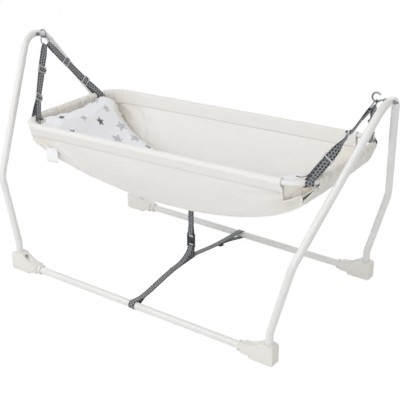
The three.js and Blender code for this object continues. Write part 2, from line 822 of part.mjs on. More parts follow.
// Stations that wrap a bar: places are (run, off) pairs measured from the bar along the strap.
// A ring's wire curves away inside the strap's width, so its loop reaches back by that much.
function wrapBar(loopRadius, tail, tailSide, reachBack = 0) {
  const steps = 8;
  const spread = Math.acos(loopRadius / (tail + reachBack));
  const half = (webThickness + fit) / 2;
  const places = [[tail, tailSide * half]];
  for (let k = 0; k <= steps; k += 1) {
    const angle = spread + ((2 * Math.PI - 2 * spread) * k) / steps;
    places.push([loopRadius * Math.cos(angle) - reachBack, tailSide * loopRadius * Math.sin(angle)]);
  }
  places.push([tail, -tailSide * half]);
  return places;
}

const frameLift = webThickness / 2 + fit + frameThickness / 2;
const frameHalf = frameCentreBar / 2 + frameSlot + frameBar;

// The strap dips under a frame's end bars and rises over its centre bar.
function weave(run, hump) {
  const crossing = frameCentreBar / 2 + frameSlot;
  const shoulder = frameCentreBar / 2 + webThickness / 2 + fit;
  const over = 2 * frameLift;
  return [
    [run - crossing + fit, 0],
    [run - shoulder, over],
    [run - shoulder / 2, over + hump],
    [run + shoulder / 2, over + hump],
    [run + shoulder, over],
    [run + crossing - fit, 0],
  ];
}

// A two-slot frame in the plane of the strap, drawn with x along the strap and y across it.
function frameGeometry(strapWidth) {
  const halfLength = frameHalf;
  const halfWidth = strapWidth / 2 + frameSideClearance + frameSide;
  const plate = new THREE.Shape();
  plate.moveTo(-halfLength, frameCorner - halfWidth);
  plate.quadraticCurveTo(-halfLength, -halfWidth, frameCorner - halfLength, -halfWidth);
  plate.lineTo(halfLength - frameCorner, -halfWidth);
  plate.quadraticCurveTo(halfLength, -halfWidth, halfLength, frameCorner - halfWidth);
  plate.lineTo(halfLength, halfWidth - frameCorner);
  plate.quadraticCurveTo(halfLength, halfWidth, halfLength - frameCorner, halfWidth);
  plate.lineTo(frameCorner - halfLength, halfWidth);
  plate.quadraticCurveTo(-halfLength, halfWidth, -halfLength, halfWidth - frameCorner);
  const slots = [-1, 1].map((hand) => {
    const reach = [(hand * frameCentreBar) / 2, hand * (frameCentreBar / 2 + frameSlot)];
    const slotHalf = strapWidth / 2 + frameSideClearance;
    return box(
      vec(Math.min(...reach), -slotHalf, -overrun),
      vec(Math.max(...reach), slotHalf, frameThickness + overrun));
  });
  const depth = frameThickness;
  const solid = new THREE.ExtrudeGeometry(plate, { depth, bevelEnabled: false, curveSegments: 3 });
  return cut(solid, ...slots).translate(0, 0, -frameThickness / 2);
}

function seatFrame(name, group, middle, ahead, across, strapWidth, material) {
  const face = ahead.clone().cross(across);
  const frame = addPiece(group, name, frameGeometry(strapWidth), material);
  frame.quaternion.setFromRotationMatrix(new THREE.Matrix4().makeBasis(ahead, across, face));
  frame.position.copy(middle).addScaledVector(face, frameLift);
}

// One corner's strap: sewn round the ring, threaded through two frames and looped round the rim.
function addCornerStrap(sideName, side, rowName, row) {
  const { centre, inward } = ringPlace(side);
  const loop = fromRim(rimCornerPoint(side, row, loopDegrees(side)));
  const ahead = loop.clone().sub(centre).normalize();
  const start = centre.clone().addScaledVector(ahead, ringRadius);
  const length = loop.distanceTo(start);
  const ringAcross = inward.clone().cross(ahead).normalize();
  const angle = toRadians(loopDegrees(side));
  const turned = (direction) => fromRim(direction).sub(fromRim(vec(0, 0, 0)));
  const tangent = turned(vec(-side * Math.sin(angle), row * Math.cos(angle), 0));
  if (tangent.dot(ringAcross) < 0) tangent.negate();
  const rimAcross = tangent.clone().addScaledVector(ahead, -tangent.dot(ahead)).normalize();
  const adjusterRun = adjusterShare * length;
  const glideRun = (side < 0 ? headGlideShare : footGlideShare) * length;

  const acrossAt = (run) => {
    const share = THREE.MathUtils.smoothstep(run, adjusterRun + frameHalf, glideRun - frameHalf);
    const twist = ringAcross.angleTo(rimAcross) * share;
    const hand = Math.sign(ringAcross.clone().cross(rimAcross).dot(ahead)) || 1;
    return ringAcross.clone().applyAxisAngle(ahead, hand * twist);
  };
  const place = (run, off) => start.clone().addScaledVector(ahead, run)
    .addScaledVector(ahead.clone().cross(acrossAt(run)), off);
  const widthAt = (run) => THREE.MathUtils.lerp(
    webRingWidth, webWidth, THREE.MathUtils.smoothstep(run, 0, ringTail));
  const station = ([run, off]) => ({ place: place(run, off), across: acrossAt(run), width: widthAt(run) });

  const ringReach = ringRadius - Math.sqrt(ringRadius ** 2 - (webRingWidth / 2) ** 2);
  const ringLoop = wrapBar(ringWireRadius + 2 * fit + webThickness / 2, ringTail, -1, ringReach);
  const twistRuns = [1, 2, 3, 4].map((k) => [
    THREE.MathUtils.lerp(adjusterRun + frameHalf, glideRun - frameHalf, k / 5), 0]);
  const split = glideRun + splitRun;
  const stations = [
    ...ringLoop,
    [ringTail + ringTailBlend, 0],
    ...weave(adjusterRun, humpHeight),
    ...twistRuns,
    ...weave(glideRun, glideHump),
    [split, 0],
  ].map(station);

  // Round the rim tube: down its outer side, under it, and back up its inner side.
  const outward = turned(vec(side * Math.cos(angle), row * Math.sin(angle), 0));
  const up = turned(vec(0, 0, 1));
  const rimSagitta = webWidth ** 2 / (8 * rimCorner);
  const wrapRadius = rimTubeRadius + 3 * fit + rimSagitta + webThickness / 2;
  const splitPoint = place(split, 0).sub(loop);
  const aim = Math.atan2(splitPoint.dot(up), splitPoint.dot(outward));
  const away = Math.hypot(splitPoint.dot(up), splitPoint.dot(outward));
  const spread = Math.acos(wrapRadius / away);
  const steps = 9;
  const wrap = Array.from({ length: steps + 1 }, (_, k) => {
    const around = aim - spread - ((2 * Math.PI - 2 * spread) * k) / steps;
    return loop.clone()
      .addScaledVector(outward, wrapRadius * Math.cos(around))
      .addScaledVector(up, wrapRadius * Math.sin(around));
  });
  const sewnEnd = place(split, webThickness + 2 * fit);
  const branch = (from, to) => branchShares.map((share) => ({
    place: along(from, to, share),
    across: along(rimAcross, tangent, share).normalize(),
    width: webWidth,
  }));
  stations.push(
    ...branch(place(split, 0), wrap[0]),
    ...wrap.map((point) => ({ place: point, across: tangent, width: webWidth })),
    ...branch(sewnEnd, wrap[steps]).reverse(),
    { place: sewnEnd, across: rimAcross, width: webWidth });

  const corner = `${rowName}_${sideName}`;
  addPiece(cradle, `corner_strap_${corner}`, band(stations, webThickness), webbing());
  const fittings = [['strap_adjuster', adjusterRun], ['tri_glide', glideRun]];
  for (const [name, run] of fittings) {
    seatFrame(`${name}_${corner}`, cradle, place(run, 0), ahead, acrossAt(run), webWidth, clearPlastic());
  }
}

// Tether: everything lies in the plane x = 0, with the webbing's width along x

const acrossX = vec(1, 0, 0);
const armSlope = (junctionHeight - sewnHeight) / (sewnReach + armMeet);
const tetherBand = (points) => band(
  points.map((place) => ({ place, across: acrossX, width: tetherWidth })), webThickness);

// Places (run, off) from a bar or tube, laid in the plane x = 0.
function inTetherPlane(origin, ahead, places) {
  const face = ahead.clone().cross(acrossX);
  return places.map(([run, off]) => origin.clone().addScaledVector(ahead, run).addScaledVector(face, off));
}

function addArms() {
  const tubeLoop = tubeRadius + fit + webThickness / 2;
  const nearTube = vec(0, -baseSpan / 2, baseHeight);
  const sewn = vec(0, -sewnReach, sewnHeight);
  const nearAhead = sewn.clone().sub(nearTube).normalize();
  const nearLoop = inTetherPlane(nearTube, nearAhead, wrapBar(tubeLoop, nearTail, 1));
  const nearArm = [...nearLoop, sewn, vec(0, armMeet, junctionHeight)];
  addPiece(cradle, 'near_arm', tetherBand(nearArm), webbing());

  const farTube = vec(0, baseSpan / 2, baseHeight);
  const layer = webThickness + fit;
  const farBend = vec(0, armMeet + layer, junctionHeight + layer);
  const farEnd = vec(0, -armMeet, junctionHeight + layer - 2 * armMeet * armSlope);
  const farAhead = farBend.clone().sub(farTube).normalize();
  const threaded = weave(0, fit).map(([run, off]) => [sliderRun - run, -off - layer]);
  const farWrap = wrapBar(tubeLoop, farTail, -1).slice(1);
  const farArm = inTetherPlane(farTube, farAhead, [...threaded, ...farWrap]);
  addPiece(cradle, 'far_arm', tetherBand([...farArm, farBend, farEnd]), webbing());
  const sliderMiddle = inTetherPlane(farTube, farAhead, [[sliderRun, -layer]])[0];
  seatFrame('arm_slider', cradle, sliderMiddle, farAhead, vec(-1, 0, 0), tetherWidth, blackPlastic());
}

// Side-release buckle: the socket hangs on the upper strap, the plug holds the lower one.
function buckleHalf(low, high, barAtTop) {
  const plate = new THREE.Shape();
  const halfWidth = buckleWidth / 2 - buckleEdge;
  plate.moveTo(-halfWidth, low + buckleEdge);
  plate.lineTo(halfWidth, low + buckleEdge);
  plate.lineTo(halfWidth, high - buckleEdge);
  plate.lineTo(-halfWidth, high - buckleEdge);
  plate.closePath();
  const shell = new THREE.ExtrudeGeometry(plate, {
    depth: buckleThickness - 2 * buckleEdge,
    bevelThickness: buckleEdge,
    bevelSize: buckleEdge,
    bevelSegments: 2,
  }).translate(0, 0, buckleEdge - buckleThickness / 2).rotateX(Math.PI / 2);
  const slotLow = barAtTop ? high - buckleBar - buckleSlot : low + buckleBar;
  const slotHalf = buckleWidth / 2 - buckleSide;
  const slot = box(
    vec(-slotHalf, -buckleThickness, slotLow), vec(slotHalf, buckleThickness, slotLow + buckleSlot));
  const barLow = barAtTop ? high - buckleBar : low - overrun;
  const barHigh = barAtTop ? high + overrun : low + buckleBar;
  const thinning = [-1, 1].map((face) => box(
    vec(-slotHalf, Math.min(face * buckleBar / 2, face * buckleThickness), barLow - fit),
    vec(slotHalf, Math.max(face * buckleBar / 2, face * buckleThickness), barHigh + fit)));
  return cut(shell, slot, ...thinning);
}

function socketGeometry() {
  const cavityTop = socketBottom + cavityDepth;
  const half = cavityWidth / 2;
  const deep = cavityThickness / 2;
  const cavity = box(vec(-half, -deep, socketBottom - overrun), vec(half, deep, cavityTop));
  const windowLow = socketBottom + prongHeadRise - windowMargin;
  const windowHigh = socketBottom + prongHeadRise + prongHeadLength + windowMargin;
  const windows = box(
    vec(-buckleWidth, -deep, windowLow), vec(buckleWidth, deep, windowHigh));
  return cut(buckleHalf(socketBottom, buckleTop, true), cavity, windows);
}

function plugGeometry() {
  const top = socketBottom - fit;
  const tongue = box(
    vec(-tongueWidth / 2, -prongThickness / 2, top - buckleEdge),
    vec(tongueWidth / 2, prongThickness / 2, top + tongueLength));
  return joined(buckleHalf(buckleBottom, top, false), tongue);
}

function prongGeometry(hand) {
  const outline = new THREE.Shape();
  const low = socketBottom;
  const headLow = low + prongHeadRise;
  const headHigh = headLow + prongHeadLength;
  outline.moveTo(hand * prongInset, low);
  outline.lineTo(hand * (prongInset + prongArm), low);
  outline.lineTo(hand * (prongInset + prongArm), headLow);
  outline.lineTo(hand * prongHeadOut, headLow + prongHeadRise / 4);
  outline.quadraticCurveTo(hand * prongHeadOut, headHigh, hand * (prongInset + prongArm), headHigh);
  outline.lineTo(hand * (prongInset + prongArm), low + prongLength);
  outline.lineTo(hand * prongInset, low + prongLength);
  outline.closePath();
  return new THREE.ExtrudeGeometry(outline, { depth: prongThickness, bevelEnabled: false, curveSegments: 4 })
    .translate(0, 0, -prongThickness / 2).rotateX(Math.PI / 2);
}

function addTether() {
  addArms();
  addPiece(cradle, 'buckle_socket', socketGeometry(), blackPlastic());
  addPiece(cradle, 'buckle_plug', plugGeometry(), blackPlastic());
  addPiece(cradle, 'buckle_prong_left', prongGeometry(-1), blackPlastic());
  addPiece(cradle, 'buckle_prong_right', prongGeometry(1), blackPlastic());

  const up = vec(0, 0, 1);
  const socketBar = vec(0, 0, buckleTop - buckleBar / 2);
  const keel = fromRim(vec(0, 0, -bodyDepth - bodySag - clothThickness / 2));
  const dropTop = vec(0, 0, keel.z - 3 * fit);
  const drop = inTetherPlane(socketBar, up, wrapBar(barLoopRadius, dropTail, -1));
  addPiece(cradle, 'drop_strap', tetherBand([...drop, dropTop]), webbing());

  // The lower strap lies sewn on the near arm, curves up to the plug's bar and drops to the junction.
  const sewnRise = webThickness + fit;
  const plugBar = vec(0, 0, buckleBottom + buckleBar / 2);
  const onArm = (y) => vec(0, y, sewnHeight + (y + sewnReach) * armSlope + sewnRise);
  const climb = new THREE.CubicBezierCurve3(
    onArm(sewnLength - sewnReach),
    onArm(sewnLength * 2 - sewnReach),
    vec(0, -barLoopRadius, (plugBar.z + junctionHeight) / 2),
    vec(0, -barLoopRadius, plugBar.z));
  const overBar = [1, 2, 3, 4, 5].map((k) => {
    const angle = Math.PI * (1 - k / 6);
    return vec(0, barLoopRadius * Math.cos(angle), plugBar.z + barLoopRadius * Math.sin(angle));
  });
  const legEnd = vec(0, barLoopRadius, junctionHeight + 2 * (webThickness + fit));
  const leg = [onArm(-sewnReach), ...climb.getPoints(9), ...overBar, vec(0, barLoopRadius, plugBar.z), legEnd];
  addPiece(cradle, 'lower_strap', tetherBand(leg), webbing());
}

addStand();
addHooks();
addRim();
addBody();
addPiece(rimFrame, 'pad', padGeometry(), quilting());
for (const [sideName, side] of sides) {
  for (const [rowName, row] of rows) addCornerStrap(sideName, side, rowName, row);
}
addTether();
cradle.add(rimFrame);

export default cradle;
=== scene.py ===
from functools import partial
from math import acos, atan2, ceil, copysign, cos, degrees, exp, hypot, pi, radians, sin, sqrt, tan
import bmesh
import bpy
from mathutils import Matrix, Vector, noise


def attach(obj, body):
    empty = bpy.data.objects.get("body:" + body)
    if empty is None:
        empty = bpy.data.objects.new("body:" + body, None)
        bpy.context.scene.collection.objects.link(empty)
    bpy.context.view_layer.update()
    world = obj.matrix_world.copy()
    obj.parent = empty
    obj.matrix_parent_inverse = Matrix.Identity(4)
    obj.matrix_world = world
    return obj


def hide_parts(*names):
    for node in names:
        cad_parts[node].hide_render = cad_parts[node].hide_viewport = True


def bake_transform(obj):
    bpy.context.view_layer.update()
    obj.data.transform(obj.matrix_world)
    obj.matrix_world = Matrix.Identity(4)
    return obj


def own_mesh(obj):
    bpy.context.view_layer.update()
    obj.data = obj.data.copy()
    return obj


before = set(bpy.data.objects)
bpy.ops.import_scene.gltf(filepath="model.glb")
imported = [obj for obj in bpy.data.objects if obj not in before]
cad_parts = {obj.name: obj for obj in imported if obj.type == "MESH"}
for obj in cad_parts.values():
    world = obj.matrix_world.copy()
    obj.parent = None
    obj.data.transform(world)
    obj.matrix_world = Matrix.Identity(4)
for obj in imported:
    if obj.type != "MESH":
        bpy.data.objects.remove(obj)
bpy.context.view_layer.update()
mm = 0.001
sides = (("Left", -1), ("Right", 1))
rows = (("Near", -1), ("Far", 1))
print("frame loaded")


# small sums

def lerp(a, b, share):
    return a + (b - a) * share


def smooth(value, low, high):  # 0 below low, 1 above high, soft in between
    share = min(max((value - low) / (high - low), 0), 1)
    return share * share * (3 - 2 * share)


def cycle(turns):  # the sine of a number of full turns
    return sin(2 * pi * turns)


# camera and studio

studio = dict(
    cameraPlace=(1.5344, -2.1156, 1.4183),  # metres, solved from the photograph's straight tubes
    azimuth=35.33, elevation=23.97, lens=82.0, sensor=36,
    worldLight=0.54, worldTint="#F8F9FB", paper="#F4F4F4", paperGlow=0.93, glow=1.03,
    floorSize=14, floorDrop=0.0006, aim=(0, 0, 0.4),
    lamps=(  # name, place, size, watts
        ("keyLamp", (-1.9, -2.2, 3.0), 2.6, 35), ("fillLamp", (2.8, -1.6, 1.9), 2.2, 5),
        ("frontLamp", (0.5, -3.3, 2.0), 2.8, 29), ("rimLamp", (0.4, 3.0, 2.4), 2.4, 20)),
)


def toLinear(hexText, shade=1):  # sRGB hex, darkened by a share, to the linear colour that shaders want
    parts = [int(hexText[i:i + 2], 16) / 255 for i in (1, 3, 5)]
    linear = [c / 12.92 if c <= 0.04045 else ((c + 0.055) / 1.055) ** 2.4 for c in parts]
    return tuple(c * shade for c in linear) + (1.0,)


def addNode(tree, kind, inputs=(), mode=None, **settings):
    # inputs: values, sockets or nodes in the sockets' order, or by name; mode is its operation or data type
    node = tree.nodes.new("ShaderNode" + kind)
    if mode:
        settings["data_type" if kind == "Mix" else "operation"] = mode
    for name, value in settings.items():
        setattr(node, name, value)
    for key, value in (inputs.items() if isinstance(inputs, dict) else enumerate(inputs)):
        if isinstance(value, bpy.types.Node):
            value = value.outputs[2 if value.bl_idname == "ShaderNodeMix" else 0]  # 2 is the mixed colour
        if isinstance(value, bpy.types.NodeSocket):
            tree.links.new(value, node.inputs[key])
        else:
            node.inputs[key].default_value = value
    return node


def newMaterial(name):
    material = bpy.data.materials.new(name)
    material.use_nodes = True
    material.node_tree.nodes.clear()
    return material, partial(addNode, material.node_tree)


def addObject(name, data, location=(0, 0, 0)):
    thing = bpy.data.objects.new(name, data)
    thing.location = location
    bpy.context.collection.objects.link(thing)
    return thing


def setStudio():
    s = studio
    azimuth, elevation = radians(s["azimuth"]), radians(s["elevation"])
    back = Vector((sin(azimuth) * cos(elevation), -cos(azimuth) * cos(elevation), sin(elevation)))
    data = bpy.data.cameras.new("photoCamera")
    data.lens, data.sensor_width, data.clip_end = s["lens"], s["sensor"], 60
    camera = addObject("photoCamera", data, s["cameraPlace"])
    camera.rotation_euler = back.to_track_quat("Z", "Y").to_euler()
    bpy.context.scene.camera = camera
    bpy.context.scene.view_settings.view_transform = "Standard"

    world = bpy.data.worlds.new("studioWorld")
    world.use_nodes = True
    bpy.context.scene.world = world
    world.node_tree.nodes.clear()
    add = partial(addNode, world.node_tree)
    path = add("LightPath").outputs
    seen = add("Math", (path["Is Camera Ray"], path["Is Glossy Ray"]), "MAXIMUM")
    seen = add("Math", (seen, path["Is Transmission Ray"]), "MAXIMUM")
    soft = add("Background", {"Color": toLinear(s["worldTint"]), "Strength": s["worldLight"]})
    white = add("Background", {"Color": (1, 1, 1, 1), "Strength": 1})
    add("OutputWorld", {"Surface": add("MixShader", (seen, soft, white))})

    paper, add = newMaterial("studioPaper")  # matt white paper; the camera sees it nearly burnt out
    path = add("LightPath").outputs
    matt = add("BsdfDiffuse", {"Color": toLinear(s["paper"])})
    glow = add("Emission", {"Color": (1, 1, 1, 1), "Strength": s["glow"]})
    seen = add("Math", (path["Is Camera Ray"], path["Is Glossy Ray"]), "MAXIMUM")
    share = add("Math", (seen, s["paperGlow"]), "MULTIPLY")
    add("OutputMaterial", {"Surface": add("MixShader", (share, matt, glow))})
    bm = bmesh.new()
    bmesh.ops.create_grid(bm, x_segments=2, y_segments=2, size=s["floorSize"])
    mesh = toMesh("studioFloor", bm)
    mesh.materials.append(paper)
    addObject("studioFloor", mesh, (0, 0, -s["floorDrop"]))

    for name, spot, size, power in s["lamps"]:
        data = bpy.data.lights.new(name, "AREA")
        data.shape, data.size, data.energy = "DISK", size, power
        lamp = addObject(name, data, spot)
        lamp.rotation_euler = (Vector(spot) - Vector(s["aim"])).to_track_quat("Z", "Y").to_euler()


def toMesh(name, bm):
    mesh = bpy.data.meshes.new(name)
    bm.to_mesh(mesh)
    bm.free()
    return mesh


setStudio()
print("studio ready")


# finishes

def hardFinish(name, colour, shade, fine, coarse, rough, depth, **more):
    # fine and coarse: grain in mm and detail. The coarse one drifts from colour to shade, the fine one
    # is felt, and sets the roughness unless rough ends with "coarse".
    material, add = newMaterial(name)
    spot = add("TexCoord").outputs["Object"]
    grain, drift = (add("TexNoise", {"Vector": spot, "Scale": 1 / (size * mm), "Detail": detail})
                    for size, detail in (fine, coarse))
    tone = add("Mix", {"Factor": drift, 6: toLinear(colour), 7: shade}, "RGBA")
    low, high, *by = rough
    roughness = add("MapRange", {"Value": drift if by else grain, "To Min": low, "To Max": high})
    shader = add("BsdfPrincipled", {"Base Color": tone, "Roughness": roughness, **more,
                                    "Normal": add("Bump", {"Height": grain, "Distance": depth * mm})})
    add("OutputMaterial", {"Surface": shader})
    return material


def bakedEnamel(name, colour):  # sprayed and baked enamel on steel tube: smooth, faint orange peel
    return hardFinish(name, colour, toLinear("#E9E7E2"), (1.8, 2.0), (90, 3.0), (0.26, 0.36, "coarse"), 0.012,
                      **{"Coat Weight": 0.25, "Coat Roughness": 0.12})


def mouldedPlastic(name, colour, rough, grain=0.9, clear=0.0):  # ABS or acetal from a spark-eroded mould
    return hardFinish(name, colour, toLinear(colour, 0.93), (grain, 3.0), (35, 2.0), (rough - 0.06, rough + 0.06),
                      0.02, **{"Transmission Weight": clear})


def platedSteel(name, colour, rough):  # bright or dull zinc plate: fine drawing marks, small stains
    return hardFinish(name, colour, toLinear(colour, 0.72), (0.7, 4.0), (9, 3.0), (rough * 0.7, rough * 1.5),
                      0.01, Metallic=1.0)


def weaveHeight(add, spot, pitch):  # plain weave: two sets of ribs, the taller one on top
    ribs = [add("TexWave", {"Vector": spot, "Scale": 1 / (pitch * 20), "Distortion": 0.6, "Detail": 1.0,
                            "Detail Scale": 2.0}, wave_type="BANDS", bands_direction=direction,
                wave_profile="SIN").outputs["Fac"] for direction in ("X", "Y")]
    return add("Math", (ribs[0], ribs[1]), "MAXIMUM")


def softFinish(add, material, tone, roughness, sheen, sheenRoughness, *heights):
    # heights: pairs of a height and its depth in mm, the coarse one first
    under = {}
    for height, depth in heights:
        under = {"Normal": add("Bump", {"Height": height, "Distance": depth * mm, **under})}
    shader = add("BsdfPrincipled", {"Base Color": tone, "Roughness": roughness, "Sheen Weight": sheen,
                                    "Sheen Roughness": sheenRoughness, **under})
    add("OutputMaterial", {"Surface": shader})
    return material


def cottonCanvas(name, colour, shade, pitch=1.6):
    # Washed cotton canvas, plain weave of 0.5 mm threads drawn at 1.6 mm so that they show; painted shade, a
    # cream-tan tint, down in its folds and pleats.
    material, add = newMaterial(name)
    cloth = add("UVMap", uv_map="cloth")
    spot = add("TexCoord").outputs["Object"]
    threads = weaveHeight(add, cloth, pitch * mm)
    slub = add("TexNoise", {"Vector": cloth, "Scale": 1 / (22 * mm), "Detail": 5.0})
    crease = add("TexNoise", {"Vector": spot, "Scale": 1 / (60 * mm), "Detail": 4.0, "Distortion": 0.8})
    # painted shade: the fold-shade share, broken up by slub, tints the cloth towards the shade colour
    foldShade = add("Attribute", attribute_name="foldShade").outputs["Fac"]
    share = add("Math", (foldShade, slub), "MULTIPLY")
    share = add("Math", (share, 1.35), "MULTIPLY", use_clamp=True)
    tone = add("Mix", {"Factor": share, 6: toLinear(colour), 7: toLinear(shade)}, "RGBA")
    return softFinish(add, material, tone, 0.9, 0.25, 0.5, (crease, 4.5), (threads, 0.10))


def wovenWebbing(name):
    # Polyester jacquard webbing: grey ground, dark selvedges and rows of black floats 6.6 mm long.
    look = dict(ground="#94979A", float="#17181B", edge="#34373B", period=10 * mm, rowPitch=8.3 * mm,
                halfRun=0.33, halfRow=0.26, weave=1.3 * mm)
    material, add = newMaterial(name)
    cloth = add("UVMap", uv_map="cloth")
    split = add("SeparateXYZ", (cloth,)).outputs
    run = add("Math", (split["X"], look["period"]), "DIVIDE")
    row = add("Math", (split["Y"], look["rowPitch"]), "DIVIDE")
    row = add("Math", (row, 0.5), "ADD")
    number = add("Math", (row,), "FLOOR")
    run = add("Math", (number, 0.5, run), "MULTIPLY_ADD")  # every second row is shifted
    inside = []
    for spot, half in ((run, look["halfRun"]), (row, look["halfRow"])):
        spot = add("Math", (spot,), "FRACT")
        spot = add("Math", (spot, 0.5), "SUBTRACT")
        spot = add("Math", (spot,), "ABSOLUTE")
        inside.append(add("Math", (spot, half), "LESS_THAN"))
    floats = add("Math", (inside[0], inside[1]), "MULTIPLY")
    grain = add("TexNoise", {"Vector": cloth, "Scale": 1 / (1.1 * mm), "Detail": 2.0})
    lift = add("MapRange", {"Value": grain, "To Min": 0.7, "To Max": 1.25})
    base = add("Mix", {"Factor": floats, 6: toLinear(look["ground"]), 7: toLinear(look["float"])}, "RGBA")
    tone = add("VectorMath", {0: base, "Scale": lift}, "SCALE")
    border = add("Attribute", attribute_name="selvedge").outputs["Fac"]
    tone = add("Mix", {"Factor": border, 6: tone, 7: toLinear(look["edge"])}, "RGBA")
    raised = add("Math", (floats, 0.8, weaveHeight(add, cloth, look["weave"])), "MULTIPLY_ADD")
    return softFinish(add, material, tone, 0.72, 0.3, 0.4, (raised, 0.22))


def starCotton(name):
    # Brushed cotton with a printed scatter of plain five-pointed stars: some solid, some pale, some ruled.
    look = dict(ground="#F9F9FC", dark="#5B6068", pale="#C9C8C4", ruled="#8A8D92", backingAndShade="#F0EBDF",
                cell=66 * mm, small=15 * mm, large=25 * mm, ruling=4.4 * mm, point=0.2645, waist=0.636,
                drift=(0.24, 0.24, 0), middle=(0.38, 0.38, 0), weave=1.4 * mm)
    material, add = newMaterial(name)
    spread = add("Attribute", attribute_name="padPlace").outputs["Vector"]
    cells = add("VectorMath", {0: spread, "Scale": 1 / look["cell"]}, "SCALE")
    split = add("SeparateXYZ", (cells,)).outputs
    row = add("Math", (split["Y"],), "FLOOR")
    stagger = add("Math", (row, 0.5, split["X"]), "MULTIPLY_ADD")
    spot = add("CombineXYZ", (stagger, split["Y"]))
    cell = add("VectorMath", (spot,), "FLOOR")
    chance = add("TexWhiteNoise", {"Vector": cell}, noise_dimensions="2D").outputs["Color"]
    chances = add("SeparateColor", (chance,)).outputs
    local = add("VectorMath", (spot, cell), "SUBTRACT")
    jitter = add("VectorMath", (chance, look["drift"], look["middle"]), "MULTIPLY_ADD")
    local = add("VectorMath", (local, jitter), "SUBTRACT")
    local = add("VectorMath", {0: local, "Scale": look["cell"]}, "SCALE")
    flat = add("SeparateXYZ", (local,)).outputs
    angle = add("Math", (flat["Y"], flat["X"]), "ARCTAN2")
    turn = add("Math", (chances["Blue"], 2 * pi, angle), "MULTIPLY_ADD")
    fifth = add("Math", (turn, radians(36)), "PINGPONG")
    reach = add("VectorMath", (local,), "LENGTH").outputs["Value"]
    edge = add("Math", (add("Math", (fifth,), "SINE"), look["waist"]), "MULTIPLY")
    edge = add("Math", (add("Math", (fifth,), "COSINE"), look["point"], edge), "MULTIPLY_ADD")
    outline = add("Math", (edge, reach), "MULTIPLY")
    across = add("Math", (flat["Y"], 1 / look["ruling"]), "MULTIPLY")
    stripe = add("Math", (add("Math", (across,), "FRACT"), 0.5), "LESS_THAN")
    tone = toLinear(look["ground"])
    styles = (("dark", "small", 0.0, 0.36), ("pale", "small", 0.36, 0.6), ("ruled", "large", 0.6, 0.93))
    for colour, size, low, high in styles:
        inside = add("Math", (outline, look[size] * look["point"]), "LESS_THAN")
        above = add("Math", (chances["Red"], low), "GREATER_THAN")
        below = add("Math", (chances["Red"], high), "LESS_THAN")
        chosen = add("Math", (above, below), "MULTIPLY")
        printed = add("Math", (inside, chosen), "MULTIPLY")
        if colour == "ruled":
            printed = add("Math", (printed, stripe), "MULTIPLY")
        tone = add("Mix", {"Factor": printed, 6: tone, 7: toLinear(look[colour])}, "RGBA")
    # cream where the pad's plain back cloth shows, and painted shade over its foot end
    backingAndShade = add("Attribute", attribute_name="backingAndShade").outputs["Fac"]
    tone = add("Mix", {"Factor": backingAndShade, 6: tone, 7: toLinear(look["backingAndShade"])}, "RGBA")
    threads = weaveHeight(add, spread, look["weave"])
    crumple = add("TexNoise", {"Vector": add("TexCoord").outputs["Object"], "Scale": 1 / (45 * mm), "Detail": 4.0,
                               "Distortion": 0.6})
    return softFinish(add, material, tone, 0.88, 0.35, 0.5, (crumple, 2.0), (threads, 0.06))


enamel = bakedEnamel("bakedEnamel", "#F2F2F2")
ivoryAbs = mouldedPlastic("ivoryAbs", "#F2F0EA", 0.46)
blackAcetal = mouldedPlastic("blackAcetal", "#26272B", 0.38, 0.6)
milkyAcetal = mouldedPlastic("milkyAcetal", "#EDEFF1", 0.24, 0.6, 0.25)
brightZinc = platedSteel("brightZinc", "#93969B", 0.2)
dullZinc = platedSteel("dullZinc", "#8C8F96", 0.32)
springSteel = platedSteel("springSteel", "#6B6E74", 0.34)
# DCCFB2 is the painted shade in the canvas's folds and pleats
canvas = cottonCanvas("cottonCanvas", "#F5F3EF", "#DCCFB2")
satinTape = cottonCanvas("satinTape", "#FAFAFA", "#F2F2F2", 0.8)
webbing = wovenWebbing("wovenWebbing")
starPrint = starCotton("starCotton")
print("finishes ready")


# making pieces

def nodeOf(name):  # the CAD node of the same name, such as rim_end_left for rimEndLeft
    return "".join("_" + c.lower() if c.isupper() else c for c in name)


def seat(name, mesh, material, body, node=None):  # a finished mesh becomes a piece on its body
    for polygon in mesh.polygons:
        polygon.use_smooth = True
    mesh.materials.clear()
    mesh.materials.append(material)
    piece = addObject(name, mesh)
    if body:
        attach(piece, body)
    node = node or nodeOf(name)
    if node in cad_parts:
        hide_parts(node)
    return piece


def takeMesh(holder):  # its mesh with the modifiers applied, and the holder is gone
    mesh = bpy.data.meshes.new_from_object(holder.evaluated_get(bpy.context.evaluated_depsgraph_get()))
    bpy.data.objects.remove(holder)
    return mesh


def tubeAlong(points, radius, closed=False, sides=28):  # a round tube along a line of points, radius in mm
    curve = bpy.data.curves.new("route", "CURVE")
    curve.dimensions, curve.bevel_depth = "3D", radius * mm
    curve.bevel_resolution, curve.use_fill_caps = (sides - 4) // 2, not closed
    line = curve.splines.new("POLY")
    line.points.add(len(points) - 1)
    for knot, point in zip(line.points, points):
        knot.co = (*point, 1)
    line.use_cyclic_u = closed
    holder = addObject("route", curve)
    bpy.context.view_layer.update()
    return takeMesh(holder)


eased = dict(weld=0.02, flat=1.5, sharp=32, split=38)  # millimetres, then degrees


def meshFrom(node):
    bm = bmesh.new()
    bm.from_mesh(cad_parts[node].data)
    bmesh.ops.remove_doubles(bm, verts=bm.verts, dist=eased["weld"] * mm)
    return bm


def seatEased(name, width, material, body, segments=2, node=None):
    # A moulded or turned CAD piece with its sharp edges eased; width in mm.
    bm = meshFrom(node or nodeOf(name))
    bmesh.ops.dissolve_limit(bm, angle_limit=radians(eased["flat"]), verts=bm.verts, edges=bm.edges)
    sharp = [e for e in bm.edges if len(e.link_faces) == 2 and e.calc_face_angle() > radians(eased["sharp"])]
    bmesh.ops.bevel(bm, geom=sharp, offset=width * mm, offset_type="OFFSET", segments=segments, profile=0.5,
                    affect="EDGES", material=-1, clamp_overlap=True)
    mesh = toMesh(name, bm)
    mesh.set_sharp_from_angle(angle=radians(eased["split"]))
    return seat(name, mesh, material, body, node)


